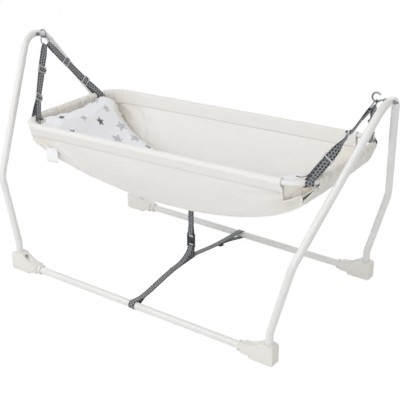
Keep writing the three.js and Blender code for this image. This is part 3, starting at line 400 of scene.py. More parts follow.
def bentGrid(stepsAlong, stepsAcross, place, cloth, shades=None):
    # A flat grid, bent to place(u, w); cloth(u, w) is the spot on the uncut cloth in metres.
    bm = bmesh.new()
    layer = bm.loops.layers.uv.new("cloth")
    marks = {key: bm.verts.layers.float.new(key) for key in (shades or {})}
    bmesh.ops.create_grid(bm, x_segments=stepsAlong, y_segments=stepsAcross, size=0.5)
    bm.verts.index_update()
    spots = [(v.co.x + 0.5, v.co.y + 0.5) for v in bm.verts]
    for face in bm.faces:
        for loop in face.loops:
            loop[layer].uv = cloth(*spots[loop.vert.index])
    for vert, spot in zip(bm.verts, spots):
        for key, mark in marks.items():
            vert[mark] = shades[key](*spot)
        vert.co = place(*spot)
    return bm


def thickened(piece, thickness):  # cloth gets its thickness, half to each side
    solid = piece.modifiers.new("thickness", "SOLIDIFY")
    solid.thickness, solid.offset, solid.use_even_offset = thickness, 0.0, False
    return piece


def roundedRoute(corners, radii, turnStep=4):  # straights joined by true arcs
    route = [corners[0].copy()]
    for i, radius in enumerate(radii, 1):
        back = (corners[i - 1] - corners[i]).normalized()
        ahead = (corners[i + 1] - corners[i]).normalized()
        turn = pi - back.angle(ahead)
        start = corners[i] + back * radius * tan(turn / 2)
        centre = corners[i] + (back + ahead).normalized() * radius / cos(turn / 2)
        arm = start - centre
        axis = arm.cross(corners[i] + ahead * radius * tan(turn / 2) - centre).normalized()
        steps = max(3, ceil(degrees(turn) / turnStep))
        route += [centre + Matrix.Rotation(turn * k / steps, 3, axis) @ arm for k in range(steps + 1)]
    return route + [corners[-1].copy()]


# stand

stand = dict(
    legSpan=950, baseSpan=592, tube=11, baseHeight=20, legBottom=10, lean=14.8,
    leanStart=93, leanBend=60, knee=308, kneeSpan=582, kneeBend=70, crown=697, crownBend=69,
    baseEnd=445, springBack=8.6,
)
halfSpan, halfLegs = stand["baseSpan"] / 2, stand["legSpan"] / 2
crownReach = halfLegs + (stand["crown"] - stand["leanStart"]) * tan(radians(stand["lean"]))


def endFrameRoute(side):
    s, lean = stand, radians(stand["lean"])
    kneeRise = (s["knee"] - s["leanStart"]) / cos(lean)
    centreRise = (s["crown"] - s["leanStart"]) / cos(lean) - s["crownBend"]
    away = hypot(s["kneeSpan"] / 2, centreRise - kneeRise)
    tangent = atan2(kneeRise - centreRise, s["kneeSpan"] / 2) + acos(s["crownBend"] / away)

    def leaning(y, rise):
        return Vector((side * (halfLegs + rise * sin(lean)), y, s["leanStart"] + rise * cos(lean)))

    def leg(row):
        foot = Vector((side * halfLegs, row * halfSpan, s["legBottom"]))
        return [foot, leaning(row * halfSpan, 0), leaning(row * s["kneeSpan"] / 2, kneeRise)]

    corners = leg(-1) + [leaning(0, centreRise + s["crownBend"] / sin(tangent))] + leg(1)[::-1]
    bends = [s["leanBend"], s["kneeBend"], s["crownBend"], s["kneeBend"], s["leanBend"]]
    return [p * mm for p in roundedRoute(corners, bends)]


def makeStand():
    for sideName, side in sides:
        seat(f"endFrame{sideName}", tubeAlong(endFrameRoute(side), stand["tube"], sides=40), enamel, "stand")
        for rowName, row in rows:
            where = rowName + sideName
            button = f"{rowName}_{sideName}".lower()
            seatEased("foot" + where, 0.9, ivoryAbs, "stand", 3)
            seatEased("lockButton" + where, 0.3, dullZinc, "button_" + button)
            spring = seatEased("snapSpring" + where, 0.2, springSteel, "stand")
            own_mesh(spring)
    for rowName, row in rows:
        ends = [Vector((x * stand["baseEnd"], row * halfSpan, stand["baseHeight"])) * mm for x in (-1, 1)]
        seat(f"baseTube{rowName}", tubeAlong(ends, stand["tube"], sides=40), enamel, "stand")


makeStand()
print("stand made")


# hooks and rings

hook = dict(wire=2.5, reach=37.5, loop=12.5, drop=7.5, shankEnd=20.5, open=38, tail=20,
            ring=17, ringWire=2, gap=0.4, ringSteps=72, bendSteps=12, loopSteps=40)
hookX = crownReach - hook["reach"]
hookLow = stand["crown"] - hook["drop"]


def bezier(a, b, c, d, count):
    return [a * (1 - t) ** 3 + b * 3 * t * (1 - t) ** 2 + c * 3 * t * t * (1 - t) + d * t ** 3
            for t in (i / count for i in range(count + 1))]


def hookRoute(side):
    shank, low = crownReach - hook["shankEnd"], hookX
    middle = (shank + low) / 2
    points = [Vector((crownReach + hook["tail"], 0, stand["crown"]))]
    points += bezier(Vector((shank, 0, stand["crown"])), Vector((middle, 0, stand["crown"])),
                     Vector((middle, 0, hookLow)), Vector((low, 0, hookLow)), hook["bendSteps"])
    for k in range(1, hook["loopSteps"] + 1):
        angle = radians(-90 - (270 - hook["open"]) * k / hook["loopSteps"])
        points.append(Vector((low + hook["loop"] * cos(angle), 0, hookLow + hook["loop"] * (1 + sin(angle)))))
    return [Vector((side * p.x, p.y, p.z)) * mm for p in points]


rim = dict(length=1034, width=436, corner=80, tube=8, height=488, forward=13, tilt=1.86,
           stub=300, stubGap=0.3, headTurn=10, footTurn=40)
halfLength, halfWidth = rim["length"] / 2, rim["width"] / 2
rimPlace = Matrix.Translation(Vector((rim["forward"], 0, rim["height"]))) @ Matrix.Rotation(
    -radians(rim["tilt"]), 4, "Y")


def rimCorner(side, row, turn):  # the rim's rounded corner at a turn in degrees; 0 faces along the length
    angle, reach = radians(turn), rim["corner"]
    x, y = halfLength - reach + reach * cos(angle), halfWidth - reach + reach * sin(angle)
    return Vector((side * x, row * y, 0))


def fromRim(point):  # millimetres from the rim's middle to metres in the scene
    return (rimPlace @ Vector(point)) * mm


def loopTurn(side):  # where on the rim's corner a strap is looped
    return rim["headTurn"] if side < 0 else rim["footTurn"]


def ringPlace(side):  # the ring hangs in the plane of its two straps
    loop = rimPlace @ rimCorner(side, 1, loopTurn(side))
    top = Vector((side * hookX, 0, hookLow + hook["wire"] + hook["gap"] + hook["ringWire"]))
    down = Vector((loop.x - top.x, 0, loop.z - top.z)).normalized()
    return top + down * hook["ring"], down.cross(Vector((0, -side, 0))), down


def makeHooks():
    for sideName, side in sides:
        seat("hook" + sideName, tubeAlong(hookRoute(side), hook["wire"], sides=24), brightZinc, "stand")
        seatEased("hookNut" + sideName, 0.35, dullZinc, "stand")
        seatEased("capNut" + sideName, 0.3, dullZinc, "stand")
        centre, _, down = ringPlace(side)
        circle = [centre + (down * cos(a) + Vector((0, 1, 0)) * sin(a)) * hook["ring"]
                  for a in (2 * pi * k / hook["ringSteps"] for k in range(hook["ringSteps"]))]
        seat("ring" + sideName, tubeAlong([p * mm for p in circle], hook["ringWire"], True, 20), brightZinc,
             "cradle")


makeHooks()
print("hooks and rings made")


# rim tubes

sleeveEnd = halfLength - rim["corner"]  # where the rim's straight sides end


def makeRim():
    for sideName, side in sides:
        corners = [Vector((side * x, row * halfWidth, 0)) for x, row in
                   ((rim["stub"], -1), (halfLength, -1), (halfLength, 1), (rim["stub"], 1))]
        route = [fromRim(p) for p in roundedRoute(corners, [rim["corner"]] * 2)]
        seat("rimEnd" + sideName, tubeAlong(route, rim["tube"], sides=36), enamel, "cradle")
    for rowName, row in rows:
        ends = [fromRim((x * (rim["stub"] - rim["stubGap"]), row * halfWidth, 0)) for x in (-1, 1)]
        seat("rimSide" + rowName, tubeAlong(ends, rim["tube"], sides=36), enamel, "cradle")


makeRim()
print("rim made")


# cloth body

body = dict(
    depth=198, sag=28, seamHalf=130, seamFlare=3, profilePower=2.2, profileRoot=0.6667,
    turn=50, share=0.9, cutDeep=46, cutShallow=22, bulge=9, seamGap=1.0,
    wrap=0.1, wrapTurn=24, room=3.8, headReach=133, footBend=19,
    sleeve=10.3, drop=13.8, end=515.75, cloth=1.3, hem=27, sleeveBend=9.4,
    pleat=2.0, hemStart=0.97, endHalf=150, footPleat=4.5, ruffle=3.0, pleatPitch=13,
    pucker=0.3, puckerPitch=11, baseWidth=420, railGap=0.3, edgePull=1.25, headGather=(0.8, 0.99),
    footGather=(0.66, 0.93), baseShade=(0.7, 0.95), panelShade=(0.68, 0.95), sleeveShade=(-0.86, -1.04),
    tenseFrom=(0.45, 0.62), tenseTo=(0.84, 0.9), tenseAt=(0.24, 0.14), dragFrom=(0.62, 0.95), hemFade=18,
    deepFold=(0.86, 0.22, 0.035), sideFold=(0.74, 0.3, 0.05), foldDepth=6.0, wrapShare=0.2, sleeveCloth=0.5,
    sleeveSkin=(0.95, 2.2), sideSleeve=962, seamRoll=1.4, binding=1.6,
)
seamEnd = rimCorner(1, 1, body["turn"])  # over the ends of the lower seams


def depthAt(x):
    share = min(abs(x) / body["end"], 1) ** body["profilePower"]
    return body["drop"] + (body["depth"] - body["drop"]) * max(1 - share, 0) ** body["profileRoot"]


def seamPoint(q, row):
    across = body["seamHalf"] + (seamEnd.y - body["seamHalf"]) * abs(q) ** body["seamFlare"]
    return Vector((q * seamEnd.x, row * across, -depthAt(q * seamEnd.x)))


def bendShare(q):  # how far along the rim's bend; negative on its straight
    return (abs(q) - body["share"]) / (1 - body["share"])


def outFrom(side, row, angle):  # the way out from the rim's corner
    return Vector((side * cos(angle), row * sin(angle), 0))


def wrapAngle(q):  # past the head end a side panel goes on round the rim's corner
    return lerp(body["turn"], body["wrapTurn"], (-1 - q) / body["wrap"])


def railAt(q, row):  # the rim tube's centre over a place of a side panel, and the way out from it
    if abs(q) <= body["share"]:
        return Vector((q / body["share"] * sleeveEnd, row * halfWidth, 0)), Vector((0, row, 0))
    side = copysign(1, q)
    turn = 90 - min(bendShare(q), 1) * (90 - body["turn"])
    if q < -1:
        turn = wrapAngle(q)
    return rimCorner(side, row, turn), outFrom(side, row, radians(turn))


def panelTop(q, row):
    turned = bendShare(q)
    top = railAt(q, row)[0]
    cut = body["railGap"]
    if turned > 0:
        cut = lerp(cut, body["room"], min(turned, 1)) if q < 0 else lerp(body["cutDeep"], body["cutShallow"], turned)
    top.z = -body["sleeve"] - cut
    return top


def edgeDepth(turned):  # depth of the base's edge round the rim's bend
    return lerp(depthAt(seamEnd.x), body["drop"], 1 - (1 - turned) ** 2)


def panelRun(share):  # from a share of a side panel's length to a place along the hull, and back
    return lerp(-1 - body["wrap"], 1, share)


def panelShare(q):
    return (q + 1 + body["wrap"]) / (2 + body["wrap"])


def panelSurface(row, u, v):
    q = panelRun(u)
    seam = seamPoint(max(q, -1), row)
    if q < -1:
        seam = railAt(q, row)[0]
        seam.z = -edgeDepth(1 - wrapAngle(q) / body["turn"])
    seam.z += body["seamGap"]
    point = panelTop(q, row).lerp(seam, v)
    point.y += row * body["bulge"] * sin(pi * v) * (1 - max(q, -1) ** 2)
    return point


def panelFall(row, u):
    return (panelSurface(row, u, 1) - panelSurface(row, u, 0)).length


def baseEdge(q):
    turned = bendShare(q)
    if turned <= 0:
        return seamPoint(q / body["share"], 1)
    edge = rimCorner(copysign(1, q), 1, body["turn"] * (1 - turned))
    edge.x -= copysign(1, q) * turned * body["edgePull"]
    edge.z = -edgeDepth(turned)
    return edge


def baseSurface(u, v):
    q, across = 2 * u - 1, 2 * v - 1
    edge = baseEdge(q)
    keel = Vector((q * body["end"], 0, -depthAt(q * body["end"]) - body["sag"] * (1 - q * q)))
    share = across * across
    return Vector((lerp(keel.x, edge.x, share), across * edge.y, lerp(keel.z, edge.z, share)))


def lifted(surface, u, v, height):  # a point at a height over such a surface
    step = 1e-3
    du = surface(min(u + step, 1), v) - surface(max(u - step, 0), v)
    dv = surface(u, min(v + step, 1)) - surface(u, max(v - step, 0))
    return surface(u, v) + du.cross(dv).normalized() * height


def ripple(x, y, seed):  # seeded smooth noise between -1 and 1
    return noise.noise(Vector((x, y, seed * 7.31)))


def pleatPhase(run, seed):  # pleats of uneven width along a gathered edge
    return run / body["pleatPitch"] + 1.5 * ripple(run / 33, seed, 1)


def seatCloth(name, bm, thickness):
    mesh = toMesh(name, bm)
    piece = thickened(seat(name, mesh, canvas, "cradle"), thickness * mm)


def makeBase():
    def place(u, v):
        q, across = 2 * u - 1, 2 * v - 1
        gathered = smooth(abs(q), *body["headGather"])
        run = across * body["endHalf"]
        crest = 0.5 - 0.5 * cycle(pleatPhase(run, copysign(1, q)))
        deep = body["pleat"] * gathered if q < 0 else body["footPleat"] * smooth(q, *body["footGather"])
        height = -deep * (0.7 + 0.3 * ripple(run / 25, 4 * q, 2)) * crest
        height *= 1 - smooth(abs(q), body["hemStart"] - 0.04, body["hemStart"])
        height += 1.6 * (1 - gathered) * ripple(u * 9, across * 4, 3)
        nearSeam = smooth(abs(across), 0.86, 1)
        height += body["pucker"] * nearSeam * cycle(q * body["end"] / body["puckerPitch"])
        return fromRim(lifted(baseSurface, u, v, height * (1 - smooth(abs(across), 0.97, 1))))

    # painted shade, cream-tan, down in the pleat valleys of the gathered ends
    def pleatShade(u, v):
        q, run = 2 * u - 1, (2 * v - 1) * body["endHalf"]
        dip = (0.5 + 0.5 * cycle(pleatPhase(run, copysign(1, q)))) ** 3
        return smooth(abs(q), *body["baseShade"]) * (0.1 + (0.9 + 0.7 * ripple(run / 21, 4 * q, 9)) * dip)

    bm = bentGrid(200, 110, place, lambda u, v: (u * 2 * body["end"] * mm, (v - 0.5) * body["baseWidth"] * mm),
                  {"foldShade": pleatShade})
    seatCloth("basePanel", bm, body["cloth"])


def makePanels():
    for rowName, row in rows:
        def place(u, v):
            q = panelRun(u)
            tension = smooth(q, *body["tenseFrom"]) * (1 - smooth(q, *body["tenseTo"]))
            tension *= exp(-((v - body["tenseAt"][0]) / body["tenseAt"][1]) ** 2)
            height = 0.9 * tension * cycle(q * sleeveEnd / 13 + 0.5 * ripple(q * 20, v * 3, 4))
            sway = 1.5 * ripple(u * 10, v * 3, 5 + row) + 3.0 * ripple(u * 5 + v, v * 2.2, 15 + row)
            height += sway * sin(pi * v)
            drag = smooth(abs(q), *body["dragFrom"]) * sin(pi * min(v * 1.1, 1))
            height += 2.4 * drag * cycle(v * 2.3 + abs(q) * 3.1)
            nearSeam = smooth(v, 0.9, 1) * (1 - smooth(v, 0.98, 1))
            height += body["pucker"] * nearSeam * cycle(q * body["end"] / body["puckerPitch"])
            deep, beside = (exp(-(((q + at - slope * v) / wide) ** 2))  # folds at the head end
                            for at, slope, wide in (body["deepFold"], body["sideFold"]))
            fold = row * body["foldDepth"] * (deep - 0.6 * beside)
            height += fold * smooth(v, 0.12, 0.4) * (1 - smooth(v, 0.8, 0.97))
            fall = panelFall(row, u)
            height *= min(1, fall / 60) * smooth(v * fall, body["hem"], body["hem"] + body["hemFade"])
            return fromRim(lifted(lambda a, b: panelSurface(row, a, b), u, v, height))

        # painted shade towards the panel's ends, where the cloth gathers into the corners
        bm = bentGrid(230, 34, place, lambda u, v: (u * 1.05, v * 0.21),
                      {"foldShade": lambda u, v: 0.42 * smooth(abs(panelRun(u)), *body["panelShade"])})
        seatCloth("sidePanel" + rowName, bm, body["cloth"])


def wrapOutline(radius, outerHem, innerHem, w):
    # Cross-section of a sleeve: hem, round the tube, hem; flat directions are (out, up).
    def contact(hem, hand):
        return atan2(hem.y, hem.x) + hand * acos(min(radius / hem.length, 1))

    def around(angle):
        return Vector((cos(angle), sin(angle))) * radius

    start, end, flat = contact(outerHem, 1), contact(innerHem, -1), body["wrapShare"]
    if end < start:
        end += 2 * pi
    if w < flat:
        return outerHem.lerp(around(start), w / flat)
    if w > 1 - flat:
        return around(end).lerp(innerHem, (w - 1 + flat) / flat)
    return around(lerp(start, end, (w - flat) / (1 - 2 * flat)))


def makeSleeve(name, length, railAlong, hemAlong, gathered):
    # railAlong(u) is the tube's centre and the way out from it, hemAlong(u) the hem's middle on the cloth,
    # gathered(u) how gathered it is, which also sets its painted shade

    def place(u, w):
        rail, out = railAlong(u)
        hem, ahead = hemAlong(u) - rail, Vector((-out.y, out.x, 0))
        low = Vector((hem.dot(out), hem.z))
        normal = Vector((-low.y, low.x)).normalized()
        run, share = u * length, gathered(u)
        skin = lerp(*body["sleeveSkin"], share)
        slack = 1.04 + 0.09 * ripple(run / 42, w * 2, 8)
        crest = 0.5 + 0.5 * cycle(pleatPhase(run, len(name)))
        slack += share * (0.26 * crest ** 1.5 * smooth(min(u, 1 - u), 0, 0.05) + 0.05 * ripple(run / 12, 6 * w, 3))
        point = wrapOutline(body["sleeveBend"] * slack, low + normal * skin, low - normal * skin, w)
        end = max(1 - min(w, 1 - w) / body["wrapShare"], 0)
        wave = lerp(body["pucker"] * (0.5 + 0.5 * cycle(run / 9)), body["ruffle"] * crest, share)
        wave *= end * (1 if w < 0.5 else -1)
        spot = rail + out * (point.x + normal.x * wave) + ahead * hem.dot(ahead) * end
        spot.z = point.y + normal.y * wave
        return fromRim(spot)

    def valley(u, w):  # painted shade, cream-tan, down in the pleats
        depth = 0.55 + 0.45 * ripple(u * length / 21, w * 3, 9)
        dip = (0.5 - 0.5 * cycle(pleatPhase(u * length, len(name)))) ** 3
        return gathered(u) * (0.1 + 1.6 * depth * dip)

    bm = bentGrid(round(length / 2.6), 40, place, lambda u, w: (u * length * mm, w * 0.1), {"foldShade": valley})
    seatCloth(name, bm, body["sleeveCloth"])


def makeSleeves():
    for rowName, row in rows:
        start = -1 - body["wrap"] * 0.93

        def sideRail(u):
            return railAt(lerp(start, body["share"], u), row)

        def sideHem(u):
            share = panelShare(lerp(start, body["share"], u))
            return panelSurface(row, share, min(body["hem"] / panelFall(row, share), 0.8))

        # the gathered share shapes the sleeve and sets its painted shade, only round the head corner
        makeSleeve("sleeve" + rowName, body["sideSleeve"], sideRail, sideHem,
                   lambda u: 0.55 * smooth(lerp(start, body["share"], u), *body["sleeveShade"]))
    straight = halfWidth - rim["corner"]
    footReach = straight + rim["corner"] * radians(body["footBend"])
    for sideName, side in sides:
        reach = body["headReach"] if side < 0 else footReach

        def endRail(u):
            run = lerp(-reach, reach, u)
            angle, row = max(abs(run) - straight, 0) / rim["corner"], copysign(1, run)
            centre = rimCorner(side, row, degrees(angle))
            if angle == 0:
                centre.y = run
            return centre, outFrom(side, row, angle)

        def endHem(u):  # down the cloth from the tube to the sewn hem
            rail = endRail(u)[0]
            bend = max(abs(lerp(-reach, reach, u)) - straight, 0) / rim["corner"]
            q = 1 - (1 - body["share"]) * degrees(bend) / body["turn"]
            while True:
                across = min(max(rail.y / baseEdge(q).y, -1), 1)
                spot = baseSurface((side * q + 1) / 2, (across + 1) / 2)
                if (spot - rail).length >= body["hem"]:
                    return spot
                q -= 0.001

        # end sleeves are gathered all along, with painted shade in their pleats
        makeSleeve("sleeve" + sideName, 2 * reach, endRail, endHem, lambda u: 0.95)


makeBase()
makePanels()
makeSleeves()
print("cloth body made")


# label, seams and bindings

def makeLabel():
    look = dict(start=-440, rise=25, length=46, width=45, proud=2.4, cloth=0.35)
    q = look["start"] / seamEnd.x
    height = (panelTop(q, -1) - seamPoint(q, -1)).length
    hung = panelSurface(-1, panelShare(q), 1 - look["rise"] / height)

    def flap(drop, shift, proud, curl):
        def place(u, v):
            x = hung.x + shift + u * look["length"]
            follow = panelSurface(-1, panelShare(x / seamEnd.x), 1 - look["rise"] / height).y
            y = lerp(hung.y, follow, 0.35) - proud - curl * sin(2.4 * v) * (0.6 + 0.4 * u)
            return fromRim((x, y + 0.5 * ripple(u * 2, v * 2, 6 + drop), hung.z - drop - v * look["width"]))
        return bentGrid(24, 20, place, lambda u, v: (u * look["length"] * mm, v * look["width"] * mm))

    for name, bm in (("careLabel", flap(0, 0, look["proud"], 1.2)), ("careLabelBack", flap(2.5, -1.5, 1.4, 0.4))):
        piece = thickened(seat(name, toMesh(name, bm), satinTape, "cradle"), look["cloth"] * mm)


def makeSeams():
    count, beside = 160, 0.0005  # steps of the seam, and a share just beside the cut's corner
    for rowName, row in rows:
        line = [panelSurface(row, i / 12 * panelShare(-1), 1) for i in range(12)]
        line += [seamPoint(2 * i / count - 1, row) for i in range(count + 1)]
        points = [fromRim(p + Vector((0, row * 0.4, 0.3 + 0.3 * sin(i * 2.1)))) for i, p in enumerate(line)]
        seat("seamRoll" + rowName, tubeAlong(points, body["seamRoll"], sides=12), canvas, "cradle")
        for sideName, side in sides:
            if side < 0:
                cut = [panelSurface(row, 0, 0), panelSurface(row, 0, 0.5)]
                first = 1 - body["wrapTurn"] / body["turn"]
            else:
                cut = [panelTop(body["share"] - beside, row)]
                cut += [panelTop(body["share"] + beside + (1 - body["share"]) * k / 14, row) for k in range(14)]
                cut.append(cut[-1].lerp(seamPoint(1, row), 0.5))
                first = 0
            edge = [baseEdge(side * lerp(body["share"], 1, lerp(first, 1, k / 12))) for k in range(13)]
            points = [fromRim(p) for p in cut] + [fromRim((p.x, row * p.y, p.z)) for p in edge]
            seat(f"cornerBinding{rowName}{sideName}", tubeAlong(points, body["binding"], sides=12), canvas, "cradle")


makeLabel()
makeSeams()
print("label and bindings made")


# pad

pad = dict(
    left=-495, right=396, inset=11, headCorner=30, headShare=0.05, footCorner=62,
    footShare=0.12, edgeHeight=8.1, gap=0.9, voxel=6.0, shrink=1.6, cap=13.0, pressure=6.0,
    frames=20, piping=2.0, wrinkle=2.2, crease=-345, headRise=27.0, headMiddle=15.0,
    footRise=18.0, rise=5.0, sideRise=17.0, headZone=(360, 490), footZone=(270, 385), sideZone=(0.35, 0.95),
    backTilt=(0.45, 0.7), footEndShade=(345, 375), pullZone=(90, 150), outlineSteps=60,
)


def padOutline(share):  # x and half width of the pad at a share of its length
    kind = "head" if share < 0.5 else "foot"
    nearEnd = min(share, 1 - share) / pad[kind + "Share"]
    roundness = sqrt(max(1 - (1 - nearEnd) ** 2, 0)) if nearEnd < 1 else 1
    x = lerp(pad["left"], pad["right"], share)
    full = baseSurface((x / body["end"] + 1) / 2, 1).y
    return x, full - pad["inset"] - pad[kind + "Corner"] * (1 - roundness), full, roundness


def remeshed(node, voxel):
    bm = meshFrom(node)
    bmesh.ops.recalc_face_normals(bm, faces=bm.faces)
    holder = addObject("padShape", toMesh("padShape", bm))
    grid = holder.modifiers.new("grid", "REMESH")
    grid.mode, grid.voxel_size = "VOXEL", voxel * mm
    even = holder.modifiers.new("even", "SMOOTH")
    even.factor, even.iterations = 0.5, 4
    bpy.context.view_layer.update()
    return takeMesh(holder)


def inflated(mesh):  # swollen like a filled pad, by a short cloth simulation
    rest = [v.co.copy() for v in mesh.vertices]
    normals = [v.normal.copy() for v in mesh.vertices]
    for vertex, normal in zip(mesh.vertices, normals):
        vertex.co -= normal * pad["shrink"] * mm
    holder = addObject("padCloth", mesh)
    cloth = holder.modifiers.new("filling", "CLOTH")
    settings = cloth.settings
    settings.use_pressure, settings.uniform_pressure_force = True, pad["pressure"]
    settings.effector_weights.gravity, settings.quality = 0, 6
    cloth.point_cache.frame_start, cloth.point_cache.frame_end = 1, pad["frames"]
    for step in range(1, pad["frames"] + 1):
        bpy.context.scene.frame_set(step)
    swollen = takeMesh(holder)
    bpy.context.scene.frame_set(1)
    for vertex, start, normal in zip(swollen.vertices, rest, normals):
        move = vertex.co - start
        limit = (0.4 if normal.z < -0.2 else pad["cap"]) * mm  # it can't sink into the cloth under it
        if move.length > limit:
            vertex.co = start + move.normalized() * limit
    return swollen


def makePad():
    mesh = inflated(remeshed("pad", pad["voxel"]))
    bm = bmesh.new()
    bm.from_mesh(mesh)
    bmesh.ops.subdivide_edges(bm, edges=bm.edges, cuts=1, use_grid_fill=True, smooth=0.6)
    bmesh.ops.smooth_vert(bm, verts=bm.verts, factor=0.5, use_axis_x=True, use_axis_y=True, use_axis_z=True)
    bm.normal_update()
    toRim = rimPlace.inverted()
    lengths = [0.0]
    steps = 200
    for i in range(steps):
        a, b = (baseSurface((i + k) / steps, 0.5) for k in (0, 1))
        lengths.append(lengths[-1] + (b - a).length)
    for vert in bm.verts:
        local = toRim @ (vert.co / mm)
        rise = max(vert.normal.z, 0)
        share = min(max((local.x - pad["left"]) / (pad["right"] - pad["left"]), 0.02), 0.98)
        aside = min(abs(local.y) / padOutline(share)[1], 1)
        head = pad["headRise"] + pad["headMiddle"] * (1 - aside ** 2)
        lift = head * smooth(-local.x, *pad["headZone"]) + pad["footRise"] * smooth(local.x, *pad["footZone"])
        lift = hypot(lift, pad["sideRise"] * smooth(aside, *pad["sideZone"])) + pad["rise"]
        vert.co.z += lift * smooth(vert.normal.z, -0.6, 0.4) * mm
        edge = min(abs(local.x - pad["left"]), abs(local.x - pad["right"])) / 60
        folds = ripple(local.x / 70, local.y / 55, 11) + 0.5 * ripple(local.x / 26, local.y / 30, 12)
        pull = cycle(local.x / 34 + 0.6 * ripple(local.x / 60, local.y / 60, 13))
        folds -= 1.7 * exp(-((local.x - pad["crease"] - 0.12 * local.y) / 8) ** 2)  # where the head part bends up
        nearSide = smooth(abs(local.y), *pad["pullZone"])
        vert.co += vert.normal * (pad["wrinkle"] * folds + 0.8 * pull * nearSide) * rise * min(edge, 1) * mm
    mesh = toMesh("starPad", bm)
    piece = seat("starPad", mesh, starPrint, "pad_body", "pad")
    place = mesh.attributes.new("padPlace", "FLOAT_VECTOR", "POINT")
    spots = []
    for vertex in mesh.vertices:
        local = toRim @ (vertex.co / mm)
        run = (local.x / body["end"] + 1) / 2 * steps
        at = min(int(run), steps - 1)
        arc = lerp(lengths[at], lengths[at + 1], run - at)
        spots += [arc * mm, local.y * 1.04 * mm, 0.0]
    place.data.foreach_set("vector", spots)
    # plain back cloth where the pad faces away from up, and painted shade over its foot end past x 345 mm
    backingAndShade = mesh.attributes.new("backingAndShade", "FLOAT", "POINT")
    backingAndShade.data.foreach_set("value", [max(1 - smooth(v.normal.z, *pad["backTilt"]),
                                           smooth(v.co.x / mm, *pad["footEndShade"])) for v in mesh.vertices])

    outline = []
    for hand in (1, -1):
        for k in range(pad["outlineSteps"]):
            share = (1 - hand * cos(pi * k / pad["outlineSteps"])) / 2
            x, half, full, _ = padOutline(share)
            v = (hand * half / full + 1) / 2
            outline.append(fromRim(lifted(baseSurface, (x / body["end"] + 1) / 2, v, pad["gap"] + pad["edgeHeight"])))
    snapped = [piece.closest_point_on_mesh(p)[1] for p in outline]
    seat("padPiping", tubeAlong(snapped, pad["piping"], True, 12), canvas, "pad_body")


makePad()
print("pad made")


# webbing

web = dict(width=25, thickness=1.35, cadThickness=1.5, ringWidth=14, ringTail=30, adjuster=0.34,
           headGlide=0.72, footGlide=0.67, split=15, hump=4.5, glideHump=1, frameLift=2.3,
           frameHalf=11.2, bar=4, slot=6.2, fit=0.3, step=2.6, tailSteps=16, tail=(-86, 4, -60),
           tailStart=26, tailBend=(30, -3, -6), tailEdge=(0.53, -0.75, 0.41))


def wrapBar(loopRadius, tail, tailSide, reachBack=0.0, steps=16):
    spread = acos(loopRadius / (tail + reachBack))
    half = (web["cadThickness"] + web["fit"]) / 2
    places = [(tail, tailSide * half)]
    for k in range(steps + 1):
        angle = spread + (2 * pi - 2 * spread) * k / steps
        places.append((loopRadius * cos(angle) - reachBack, tailSide * loopRadius * sin(angle)))
    return places + [(tail, -tailSide * half)]


def weave(run, hump):
    crossing = web["bar"] / 2 + web["slot"]
    shoulder = web["bar"] / 2 + web["cadThickness"] / 2 + web["fit"]
    over = 2 * web["frameLift"]
    return [(run - crossing + web["fit"], 0), (run - shoulder, over), (run - shoulder / 2, over + hump),
            (run + shoulder / 2, over + hump), (run + shoulder, over), (run + crossing - web["fit"], 0)]


def curved(stations):  # rounds a line of stations with a centripetal curve, in even steps
    places = [s[0] for s in stations]
    found = []
    for i in range(len(places) - 1):
        p1, p2 = places[i], places[i + 1]
        p0 = places[i - 1] if i else p1 * 2 - p2
        p3 = places[i + 2] if i + 2 < len(places) else p2 * 2 - p1
        t1 = max((p1 - p0).length, 1e-6) ** 0.5
        t2 = t1 + max((p2 - p1).length, 1e-6) ** 0.5
        t3 = t2 + max((p3 - p2).length, 1e-6) ** 0.5
        count = max(1, round((p2 - p1).length / web["step"]))
        for k in range(count):
            share = k / count
            t = lerp(t1, t2, share)
            a1 = p0.lerp(p1, t / t1)
            a2 = p1.lerp(p2, (t - t1) / (t2 - t1))
            a3 = p2.lerp(p3, (t - t2) / (t3 - t2))
            b1, b2 = a1.lerp(a2, t / t2), a2.lerp(a3, (t - t1) / (t3 - t1))
            point = b1.lerp(b2, (t - t1) / (t2 - t1))
            found.append((point, stations[i][1].lerp(stations[i + 1][1], share).normalized(),
                          lerp(stations[i][2], stations[i + 1][2], share)))
    return found + [stations[-1]]


def ribbon(name, stations, bodyName):
    line = curved(stations)
    runs = [0.0]
    for a, b in zip(line, line[1:]):
        runs.append(runs[-1] + (b[0] - a[0]).length)
    last = len(line) - 1

    def place(u, w):
        point, across, width = line[round(u * last)]
        return (point + across * (w - 0.5) * width) * mm

    bm = bentGrid(last, 8, place, lambda u, w: (runs[round(u * last)] * mm, (w - 0.5) * web["width"] * mm),
                  {"selvedge": lambda u, w: 1.0 if abs(w - 0.5) > 0.45 else 0.0})
    return thickened(seat(name, toMesh(name, bm), webbing, bodyName), web["thickness"] * mm)


